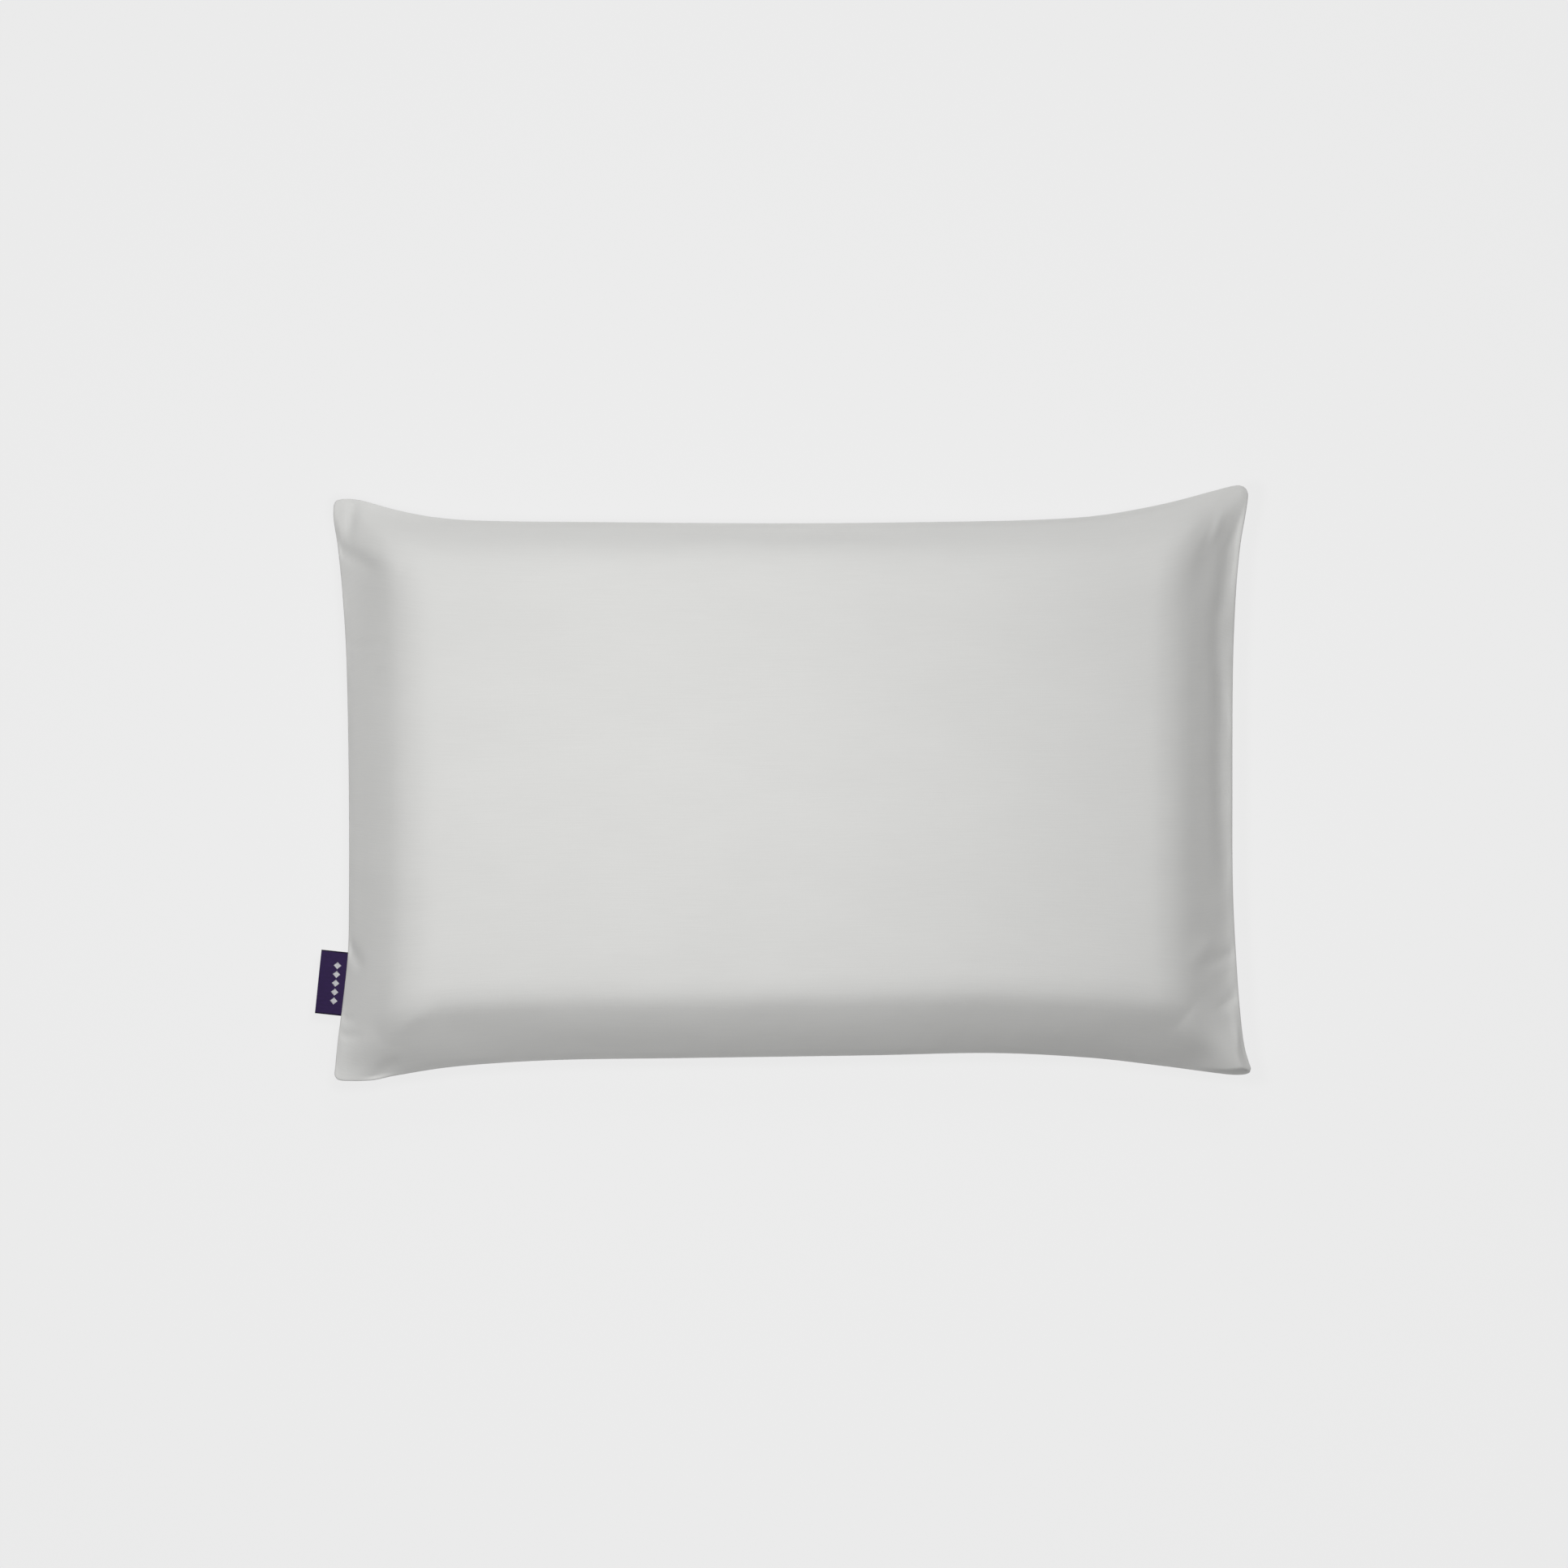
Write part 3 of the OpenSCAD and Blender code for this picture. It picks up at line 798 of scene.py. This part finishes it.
def ribbon(name, colour, half_width):
    """Woven label ribbon: fine ribs across, darker selvedges."""
    n = Nodes(name, colour, 0.6, Sheen_Weight=0.08, Sheen_Roughness=0.4, Specular_IOR_Level=0.2)
    cut = n.cut()
    ribs = n.bands(cut, 0.4, "Y", distortion=0.6)
    yarns = n.bands(cut, 0.3, "X", distortion=0.4)
    uneven = n.noise(n.stretch(cut, 900, 300), detail=2.0)
    height = n.math("MULTIPLY_ADD", ribs, 0.7, n.math("MULTIPLY", yarns, 0.5))
    n.bump(n.math("ADD", height, uneven), 0.06)
    across = n.add("ShaderNodeSeparateXYZ", out=0, Vector=cut)
    edge = n.math("GREATER_THAN", n.math("ABSOLUTE", across), (half_width - 0.7) * MM)
    body = n.mix(uneven, shade(colour, 0.8), shade(colour, 1.25))
    n.set(n.shader, "Base Color", n.mix(edge, body, shade(colour, 0.35)))
    return n.material


def knit(name, colour):
    """Fine jersey: columns of loops."""
    n = Nodes(name, colour, 0.8, Sheen_Weight=0.3, Specular_IOR_Level=0.2)
    cut = n.cut()
    columns = n.bands(cut, 0.9, "X", distortion=0.8)
    loops = n.bands(cut, 0.7, "Y", distortion=1.2)
    fluff = n.noise(n.stretch(cut, 700, 700), detail=3.0)
    height = n.math("MULTIPLY_ADD", columns, 0.8, n.math("MULTIPLY", loops, 0.4))
    n.bump(n.math("MULTIPLY_ADD", fluff, 0.5, height), 0.08)
    n.tint(fluff, colour, 0.93, 1.03)
    return n.material


def tape(name, colour):
    """Zip tape: herringbone ribs."""
    n = Nodes(name, colour, 0.7, Sheen_Weight=0.15)
    place = n.place()
    ribs = n.bands(place, 0.7, "DIAGONAL", distortion=0.3)
    n.bump(ribs, 0.08)
    n.tint(ribs, colour, 0.9)
    return n.material


def nylon(name, colour):
    """Slightly clear nylon wire."""
    n = Nodes(name, colour, 0.35, Specular_IOR_Level=0.5, Subsurface_Weight=0.1)
    spots = n.noise(n.place(), 900.0)
    n.tint(spots, colour, 0.94)
    return n.material


def metal(name, colour):
    """Die-cast zinc with a soft satin plating, rubbed brighter in places."""
    n = Nodes(name, colour, 0.34, Metallic=1.0)
    place = n.place()
    grain = n.noise(place, 1500.0, detail=3.0)
    rub = n.noise(place, 260.0, detail=2.0)
    n.bump(grain, 0.01, 0.6)
    rough = n.add("ShaderNodeMapRange", Value=rub, To_Min=0.26, To_Max=0.46)
    n.set(n.shader, "Roughness", rough)
    n.tint(rub, colour, 0.86)
    return n.material


def foam(name, colour):
    """Open-cell foam: small cells and a slight mottling."""
    n = Nodes(name, colour, 0.9, Specular_IOR_Level=0.15, Subsurface_Weight=0.15)
    place = n.place()
    cells = n.add("ShaderNodeTexVoronoi", Vector=place, Scale=900.0)
    mottle = n.noise(place, 60.0, detail=4.0)
    n.bump(cells, 0.25)
    n.tint(mottle, colour, 0.9, 1.02)
    return n.material


CASE_COLOUR = (0.700, 0.700, 0.686)
CASE_SATEEN = sateen("case_sateen", CASE_COLOUR)
CASE_THREAD = plied("case_thread", shade(CASE_COLOUR, 0.95))
LABEL_RIBBON = ribbon("label_ribbon", (0.023, 0.009, 0.060), 18.0)
LABEL_THREAD = plied("label_thread", (0.80, 0.80, 0.82))
LINER_KNIT = knit("liner_knit", (0.80, 0.78, 0.72))
LINER_THREAD = plied("liner_thread", (0.70, 0.68, 0.61))
CARE_SATIN = sateen("care_satin", (0.86, 0.86, 0.84))
ZIP_TAPE = tape("zip_tape", (0.74, 0.71, 0.64))
ZIP_NYLON = nylon("zip_nylon", (0.82, 0.80, 0.74))
ZIP_METAL = metal("zip_metal", (0.62, 0.63, 0.65))
FOAM = foam("foam_cream", (0.88, 0.80, 0.55))


# --- pillowcase ---

lines_x = cut_lines(CUT_X / 2, 2.25)
lines_y = cut_lines(CUT_Y / 2, 2.25)
PLACE = cut_places(lines_x, lines_y)


def front_panel():
    points = case_surface(lines_x, lines_y, FRONT_FOLDS, seed=5)
    rim, inner = rim_of(*points.shape[:2])
    rows = rolled_edge(points, rim, inner, True)
    made = make_mesh("front_panel", *skirted(points, PLACE, rim, rows))
    finish_piece(made, CASE_SATEEN, replaces=["case_front"], thickness=CLOTH)
    return made, rows[5]


def plateau_cut(y):
    """Place on the cut of a place across the flat face."""
    distance, _, cloth = PROFILES["back" if y > 0 else "front"]
    return y * (CUT_Y / 2 - cloth[-1]) / (HALF_Y - distance[-1])


def flattened(points):
    """Heights of a back panel before it is turned over: without the crown, and flat on the table."""
    height = points[..., 2] - SEAM
    no_crown = (height - crown(points[..., 0], points[..., 1])) * RISE / (RISE - CROWN)
    return SEAM + np.minimum(no_crown, RISE - 0.2)


def inward(points):
    """Unit normals of a front surface, turned towards the padding."""
    normal = np.cross(np.gradient(points, axis=1), np.gradient(points, axis=0))
    return normal / np.linalg.norm(normal, axis=-1, keepdims=True)


LIFT_BEFORE = 14.0
LIFT_OVER = 11.0
DRAWN_IN = 1.6
DRAWN_REACH = 6.0


def lift_share(cut_y, lift):
    """How far a flap is lifted off the face at each place: fully where the other flap lies under it."""
    t = np.clip((cut_y - (plateau_cut(OUTER_HEM_Y) - LIFT_BEFORE)) / LIFT_OVER, 0, 1)
    return lift * t * t * (3 - 2 * t)


def drawn_from_seam(cut_y, lift):
    """How far a flap keeps off the side seams where the other flap lies under it, signed along X."""
    under = np.clip((cut_y - plateau_cut(OUTER_HEM_Y) - 1) / DRAWN_REACH, 0, 1)
    near = np.exp(-(((CUT_X / 2 - np.abs(lines_x)) / DRAWN_REACH) ** 2)) * np.sign(lines_x)
    return DRAWN_IN * lift * near[:, None] * under[None]


def back_surface(cut_y, lift, deeper=0.0):
    """A flap's outer surface over rising places on its cut, moved in by its lift, and its normals."""
    points = case_surface(lines_x, cut_y, BACK_FOLDS, seed=9)
    points[..., 2] = flattened(points)
    normal = inward(points)
    points += normal * (lift_share(cut_y, lift) + deeper)[None, :, None]
    points[..., 0] -= drawn_from_seam(cut_y, lift)
    return points, normal


def back_flap(name, hem_y, sign, sides, lift, replaces):
    """One panel of the back, from its seam to the folded hem at hem_y, worked as a front and turned over.

    sign is +1 where the hem lies at the panel's -Y end. lift moves it in, over the other panel."""
    hem_cut = plateau_cut(hem_y)
    if sign > 0:
        cut_y = np.concatenate([[hem_cut], lines_y[lines_y > hem_cut + 0.5]])
    else:
        cut_y = np.concatenate([lines_y[lines_y < hem_cut - 0.5], [hem_cut]])
    points, normal = back_surface(cut_y, lift)
    rim, inner = rim_of(*points.shape[:2], sides)
    rows = rolled_edge(points, rim, inner, False)
    # the hem: a half turn and then back along the panel
    fold = 0 if sign > 0 else -1
    turn = (2 * CLOTH + 0.05) / 2
    beyond = np.array([0, -sign, 0])
    turns = [
        points[:, fold] + turn * ((1 - math.cos(a)) * normal[:, fold] + math.sin(a) * beyond)
        for a in np.linspace(0, math.pi, 7)[1:]
    ]
    back_y = hem_cut + sign * np.linspace(2, HEM + 2, 11)
    returned, _ = back_surface(np.sort(back_y), lift, 2 * turn)
    if sign < 0:
        returned = returned[:, ::-1]
    hem = np.concatenate([np.stack(turns, 1), returned], 1)
    hem_cuts = hem_cut - sign * (np.arange(hem.shape[1]) + 1) * 1.5
    if sign > 0:
        points = np.concatenate([hem[:, ::-1], points], 1)
        cut_y = np.concatenate([hem_cuts[::-1], cut_y])
        rim = rim + [0, hem.shape[1]]
    else:
        points = np.concatenate([points, hem], 1)
        cut_y = np.concatenate([cut_y, hem_cuts])
    shape, faces, places = skirted(points, cut_places(lines_x, cut_y), rim, rows, closed=False)
    made = make_mesh(name, *turned_over(shape, faces), places)
    finish_piece(made, CASE_SATEEN, replaces=replaces, thickness=CLOTH)
    return made


def stitch_piece(name, line, up, material, slot, replaces, **sewing):
    made = make_mesh(name, *stitches(line, up, **sewing))
    return finish_piece(made, material, replaces=replaces)


case_front, groove = front_panel()
OUTER_SIDES = ("right", "back", "left")
INNER_SIDES = ("left", "front", "right")
case_outer = back_flap("back_panel_outer", OUTER_HEM_Y, 1, OUTER_SIDES, 0.0, ["case_back_upper"])
case_inner = back_flap("back_panel_inner", INNER_HEM_Y, -1, INNER_SIDES, 1.0, ["case_back_lower"])

seam_up = level(outward(groove, True))
seam_line = groove - 0.1 * seam_up
seam_line[:, 2] = SEAM
seam_line, seam_up = (np.concatenate([row, row[:1]]) for row in (seam_line, seam_up))
CASE_SEAM = ["case_seam_thread"]
stitch_piece("seam_stitches", seam_line, seam_up, CASE_THREAD, "case_thread", CASE_SEAM, arch=0.1)


HEM_STITCHED = 215.0


def hem_stitches(name, hem_y, sign, lift, replaces):
    """The row of stitches that holds a hem, along the outer side of its panel."""
    cut_y = plateau_cut(hem_y) + sign * HEM + np.array([-1.0, 0, 1.0])
    points, normal = back_surface(cut_y, lift, -0.02)
    line, up = turned_over(points[:, 1], [])[0], -normal[:, 1] * [1, 1, -1]
    inside = np.abs(line[:, 0]) < HEM_STITCHED
    stitch_piece(name, line[inside], up[inside], CASE_THREAD, "case_thread", replaces, arch=0.06)


hem_stitches("outer_hem_stitches", OUTER_HEM_Y, 1, 0.0, ["hem_thread_upper"])
hem_stitches("inner_hem_stitches", INNER_HEM_Y, -1, 1.0, ["hem_thread_lower"])


# --- side label ---

flex = next(joint for joint in frame["joints"] if joint["name"] == "label_flex")
LABEL_AT = np.array(flex["pos_m"]) / MM
LABEL_SIDE = np.array(flex["axis"], float)
LABEL_OUT = np.array([-LABEL_SIDE[1], LABEL_SIDE[0], 0])
LABEL_WIDTH = 36.0
LABEL_LENGTH = 13.7
LABEL_SHIFT = -0.8
RIBBON = 0.4
DIAMOND = 1.85
DIAMOND_OUT = 4.0
DIAMOND_PITCH = 5.0


def at_label(out, along, up):
    """A point from its distance out of the seam, along the seam and above the seam's height."""
    out, along, up = np.broadcast_arrays(out, along + LABEL_SHIFT, up)
    in_plan = out[..., None] * LABEL_OUT + along[..., None] * LABEL_SIDE
    return LABEL_AT + in_plan + up[..., None] * [0, 0, 1.0]


def ribbon_wave(out, along):
    """How the free end of the ribbon waves up and down."""
    return 0.28 * np.sin(along / 6.5 + 0.6) * np.clip(out / LABEL_LENGTH, 0, 1)


def side_label():
    """The folded ribbon: out on top, round the fold and back underneath."""
    bend, sewn_in, steps, rows = 0.3, 3.0, 24, 41
    leg = np.linspace(-sewn_in, LABEL_LENGTH - bend, steps)
    turn = np.radians(np.linspace(90, -90, 7)[1:-1])
    out = np.concatenate([leg, LABEL_LENGTH - bend + bend * np.cos(turn), leg[::-1]])
    up = np.concatenate([np.full(steps, bend), bend * np.sin(turn), np.full(steps, -bend)])
    along = np.linspace(-LABEL_WIDTH / 2, LABEL_WIDTH / 2, rows)[:, None]
    free = np.clip(out / LABEL_LENGTH, 0, 1)
    points = at_label(out[None], along, up * (1 + 0.25 * free * (1 - free)) + ribbon_wave(out, along))
    cut = cut_places(along[:, 0], distances(np.stack([out, up], 1))).reshape(-1, 2)
    made = make_mesh("side_ribbon", points.reshape(-1, 3), grid_faces(rows, len(out))[:, ::-1], cut)
    return finish_piece(made, LABEL_RIBBON, None, ["side_label"], RIBBON, 0.0)


def label_diamonds():
    """Five plain diamonds on each face, worked in satin stitches."""
    parts = []
    for face, number, row in itertools.product((1, -1), range(-2, 3), np.linspace(-1, 1, 9)):
        half = DIAMOND * (1 - abs(row)) + 0.12
        out = DIAMOND_OUT + row * DIAMOND
        along = number * DIAMOND_PITCH + np.linspace(-half, half, 5)
        up = face * (RIBBON + 0.12 + 0.1 * np.array([-1.2, 0.4, 1, 0.4, -1.2])) + ribbon_wave(out, along)
        parts.append(tube(at_label(out, along, up), 0.2, sides=5))
    made = make_mesh("label_diamonds", *join(parts))
    return finish_piece(made, LABEL_THREAD, None, ["label_motif"])


ribbon_piece = side_label()
bend_from, bend_to = (tuple(at_label(out, 0, 0) * MM) for out in (-0.5, 2.0))
for piece in (ribbon_piece, label_diamonds()):
    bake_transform(piece)


# --- liner ---

LINER_DROP = 1.8
LINER_LEAST = 1.4
KNIT = 0.9
SLOT_HALF = 201.0


def rounded_sides(half_x, half_y, wall, radius):
    """Four sides of a rounded rectangle that is cut flat at y = wall, each meeting the next mid-corner."""

    x, y = half_x - radius, half_y - radius

    def side(*arcs):
        points = []
        for centre_x, centre_y, first, last in arcs:
            for angle in np.radians(np.linspace(first, last, 16)):
                across = min(centre_y + radius * math.sin(angle), wall)
                points.append((centre_x + radius * math.cos(angle), across))
        return np.array(points), distances(points)

    return {
        "front": side((-x, -y, 225, 270), (x, -y, 270, 315)),
        "back": side((-x, y, 135, 90), (x, y, 90, 45)),
        "left": side((-x, -y, 225, 180), (-x, y, 180, 135)),
        "right": side((x, -y, -45, 0), (x, y, 0, 45)),
    }


def padding_shell(half_x, half_y, wall, radius, drop, least):
    """Upper half of a padded form under the case, at least so far above the seam: a grid of points."""
    share_x = cut_lines(0.5, 0.0125, 0.004, 0.04) + 0.5
    share_y = cut_lines(0.5, 0.02, 0.006, 0.06) + 0.5
    plan = patch(share_x, share_y, rounded_sides(half_x, half_y, wall, radius))
    height = np.maximum(core_height(plan[..., 0], plan[..., 1]) - drop, least)
    return np.concatenate([plan, (SEAM + height)[..., None]], -1)


def beside_slot(edge, half):
    """Which points of the liner's edge lie in the flat back wall, within half of its middle."""
    return (edge[:, 1] > LINER_WALL - 0.5) & (np.abs(edge[:, 0]) < half)


def liner_half(name, under, replaces):
    """One half of the liner, with its wall down to the seam or to the edge of the zip's slot."""
    points = padding_shell(LINER_HIGH[0], -LINER_LOW[1], LINER_WALL, LINER_CORNER, LINER_DROP, LINER_LEAST)
    if under:
        under_height = flattened(points + [0, 0, LINER_DROP]) - LINER_DROP - 0.3
        points[..., 2] = np.maximum(under_height, SEAM + LINER_LEAST)
    rim, _ = rim_of(*points.shape[:2])
    edge = points[rim[:, 0], rim[:, 1]]
    normal = outward(edge, True)
    foot = np.where(beside_slot(edge, SLOT_HALF), SEAM + 4.0, SEAM + 0.2)
    rows = wall_rows(edge, foot, (0.2, 0.4, 0.6, 0.8, 1.0))
    lip = rows[-1].copy()
    lip[:, :2] -= 1.2 * normal
    lip[:, 2] += 0.2
    shape, faces, cut = skirted(points, points[..., :2], rim, rows + [lip])
    if under:
        shape, faces = turned_over(shape, faces)
    made = make_mesh(name, shape, faces, cut)
    finish_piece(made, LINER_KNIT, replaces=replaces, thickness=KNIT)
    return made, edge, normal


liner_top, liner_edge, liner_normal = liner_half("liner_top_half", False, ["liner_top"])
liner_bottom, _, _ = liner_half("liner_bottom_half", True, ["liner_bottom"])

closed_edge = ~beside_slot(liner_edge, SLOT_HALF + 3)
start_at = np.flatnonzero(closed_edge & ~np.roll(closed_edge, 1))[0]
order = np.roll(np.arange(len(closed_edge)), -start_at)[: closed_edge.sum()]
liner_line = liner_edge[order].copy()
liner_line[:, 2] = SEAM
liner_up = level(liner_normal[order])
LINER_SEAM = ["liner_seam_thread"]
sewing = {"pitch": 3.2, "length": 2.4}
stitch_piece("liner_stitches", liner_line, liner_up, LINER_THREAD, "liner_thread", LINER_SEAM, **sewing)


def care_label():
    """A blank satin tab sewn into the liner's seam and folded down round its lower edge."""
    low, high = box_mm("liner_care_label")
    rows, columns = 15, 22
    y = np.linspace(low[1], high[1], rows)[:, None]
    down = np.linspace(0, high[2] - low[2], columns)[None]
    wall_x = low[0] - 0.05
    wall = core_height(wall_x, y) - LINER_DROP
    x = wall_x + 0.76 * np.clip(down - wall, 0, None) + 0.03 * np.sin(y / 3)
    under = SEAM - (core_height(x, y) - LINER_DROP) - 0.3
    z = np.where(down < wall, SEAM - down, under)
    points = np.stack(np.broadcast_arrays(x, y, z), -1)
    cut = cut_places(y[:, 0], -down[0]).reshape(-1, 2)
    made = make_mesh("care_tab", points.reshape(-1, 3), grid_faces(rows, columns), cut)
    replaces = ["liner_care_label"]
    return finish_piece(made, CARE_SATIN, replaces=replaces, thickness=0.25, offset=0)


care_tab = care_label()


# --- zip ---


def zip_tape(name, node):
    """A woven tape beside the coil: a flat strip with a slight sway along it."""
    low, high = box_mm(node)
    rows, columns = 165, 9
    x = np.linspace(low[0], high[0], rows)
    z = np.linspace(low[2], high[2], columns)
    middle = (low[1] + high[1]) / 2
    sway = 0.06 * np.sin(x / 17)[:, None]
    points = np.stack(np.broadcast_arrays(x[:, None], middle + sway, z[None]), -1)
    cut = cut_places(x, z).reshape(-1, 2)
    made = make_mesh(name, points.reshape(-1, 3), grid_faces(rows, columns), cut)
    return finish_piece(made, ZIP_TAPE, replaces=[node], thickness=0.35, offset=0)


def zip_coil(name, node, side):
    """A nylon coil: one long flattened helix whose heads lock between those of the other coil."""
    low, high = box_mm(node)
    slider_inside = box_mm("zip_slider")[0][0] - 0.3
    wire, pitch = 0.27, 1.5
    turns = (high[0] - low[0] - 2) / pitch
    angle = np.linspace(0, 2 * math.pi * turns, round(turns * 12))
    x = low[0] + 1 + angle / (2 * math.pi) * pitch
    y = (low[1] + high[1]) / 2 + ((high[1] - low[1]) / 2 - wire) * np.sin(angle)
    # the rows part inside the slider at either end of its way
    lock = 0.85 * np.clip((slider_inside - np.abs(x)) / 3, 0, 1)
    bottom, top = (low[2] - lock, high[2]) if side > 0 else (low[2], high[2] + lock)
    z = (bottom + top) / 2 + ((top - bottom) / 2 - wire) * np.cos(angle)
    points, faces = tube(np.stack([x, y, z], 1), wire, sides=6)
    made = make_mesh(name, points, faces)
    return finish_piece(made, ZIP_NYLON, replaces=[node])


tapes = [zip_tape("zip_tape_top", "zip_tape_upper"), zip_tape("zip_tape_bottom", "zip_tape_lower")]
zip_coil("zip_coil_top", "zip_coil_upper", 1)
zip_coil("zip_coil_bottom", "zip_coil_lower", -1)

thread_low, thread_high = box_mm("zip_seam_thread")
zip_rows = []
for height in (thread_low[2] + 0.4, thread_high[2] - 0.4):
    x = np.linspace(thread_low[0], thread_high[0], 60)
    line = np.stack([x, np.full_like(x, LINER_WALL + 0.02), np.full_like(x, height)], 1)
    zip_rows.append(stitches(line, np.tile([0, 1.0, 0], (60, 1)), 3.0, 2.3))
zip_stitches = make_mesh("zip_stitches", *join(zip_rows))
finish_piece(zip_stitches, LINER_THREAD, replaces=["zip_seam_thread"])

for node in ("zip_slider", "zip_pull", "zip_top_stops", "zip_bottom_stop"):
    part = frame["nodes"][node]
    part.data.materials.clear()
    part.data.materials.append(ZIP_METAL)
    edges = part.modifiers.new("Worn_edges", "BEVEL")
    edges.width = 0.12 * MM
    edges.segments = 3
    edges.limit_method = "ANGLE"


# --- foam core ---


def foam_core():
    """A moulded block with round edges and upright ventilation holes."""
    low, high = box_mm("foam_core")
    inset = LINER_HIGH[0] - high[0]
    points = padding_shell(high[0], -low[1], high[1], LINER_CORNER - inset, LINER_DROP + KNIT + 1.0, 0.25)
    rim, _ = rim_of(*points.shape[:2])
    edge = points[rim[:, 0], rim[:, 1]]
    rows = wall_rows(edge, SEAM, (0.33, 0.66, 1.0))
    upper, faces, _ = skirted(points, points[..., :2], rim, rows)
    lower = upper.copy()
    lower[:, 2] = 2 * SEAM - lower[:, 2]
    flat_face = CROWN - crown(lower[:, 0], lower[:, 1])
    lower[:, 2] -= flat_face * np.clip((SEAM - lower[:, 2]) / RISE, 0, 1)
    made = make_mesh("foam_block", *join([(upper, faces), (lower, [face[::-1] for face in faces])]))
    weld = made.modifiers.new("Weld", "WELD")
    weld.merge_threshold = 0.00001
    pitch, radius = 45.0, 3.0
    upright = np.array([[0, 0, z] for z in (-2, 20, 40, 62)], float)
    holes = [
        tube(upright + [i * pitch, j * pitch, 0], radius, sides=20)
        for i in range(-4, 5)
        for j in range(-2, 3)
    ]
    cutter = make_mesh("foam_holes", *join(holes))
    drill = made.modifiers.new("Holes", "BOOLEAN")
    drill.operation = "DIFFERENCE"
    drill.object = cutter
    drill.solver = "EXACT"
    result = bpy.data.meshes.new_from_object(made.evaluated_get(bpy.context.evaluated_depsgraph_get()))
    made.modifiers.clear()
    made.data = result
    bpy.data.objects.remove(cutter)
    finish_piece(made, FOAM, replaces=["foam_core"])
    return made


foam_block = foam_core()


# --- camera, light and floor ---

VIEW_WIDTH = 883.8
CAMERA_DISTANCE = 3000.0
camera = bpy.data.objects.new("camera", bpy.data.cameras.new("camera"))
camera.data.sensor_width = 36
camera.data.lens = 36 * CAMERA_DISTANCE / VIEW_WIDTH
camera.location = Vector((-3.7, 3.9, SEAM + CAMERA_DISTANCE)) * MM
camera.data.clip_end = 20
bpy.context.scene.collection.objects.link(camera)
bpy.context.scene.camera = camera


def lamp(name, kind, place, target, power, size):
    light = bpy.data.objects.new(name, bpy.data.lights.new(name, kind))
    light.data.energy = power
    if kind == "SUN":
        light.data.angle = size
    else:
        light.data.size = size
    light.location = place
    light.rotation_euler = (Vector(target) - Vector(place)).to_track_quat("-Z", "Y").to_euler()
    light.visible_camera = False
    bpy.context.scene.collection.objects.link(light)


# a small lamp right above, and soft light from a window at the back
lamp("overhead", "AREA", (-0.10, 0.05, 0.91), (-0.10, 0.05, 0), 5.62, 0.14)
lamp("window", "SUN", (0.32, 2.2, 1.9), (0, 0, 0), 0.95, math.radians(24))
world = bpy.data.worlds.new("studio")
world.use_nodes = True
background = world.node_tree.nodes["Background"]
background.inputs["Color"].default_value = (1, 1, 1, 1)
background.inputs["Strength"].default_value = 0.02
bpy.context.scene.world = world
bpy.context.scene.view_settings.view_transform = "Standard"

floor_half = 20000.0
corners = ((-1, -1), (1, -1), (1, 1), (-1, 1))
floor = make_mesh("floor", [(x * floor_half, y * floor_half, 0) for x, y in corners], [(0, 1, 2, 3)])
board = Nodes("floor_board", (0.04, 0.04, 0.04), 0.9, Specular_IOR_Level=0.0)
board.set(board.shader, "Emission Color", (1, 1, 1, 1))
board.set(board.shader, "Emission Strength", 0.805)
floor.data.materials.append(board.material)
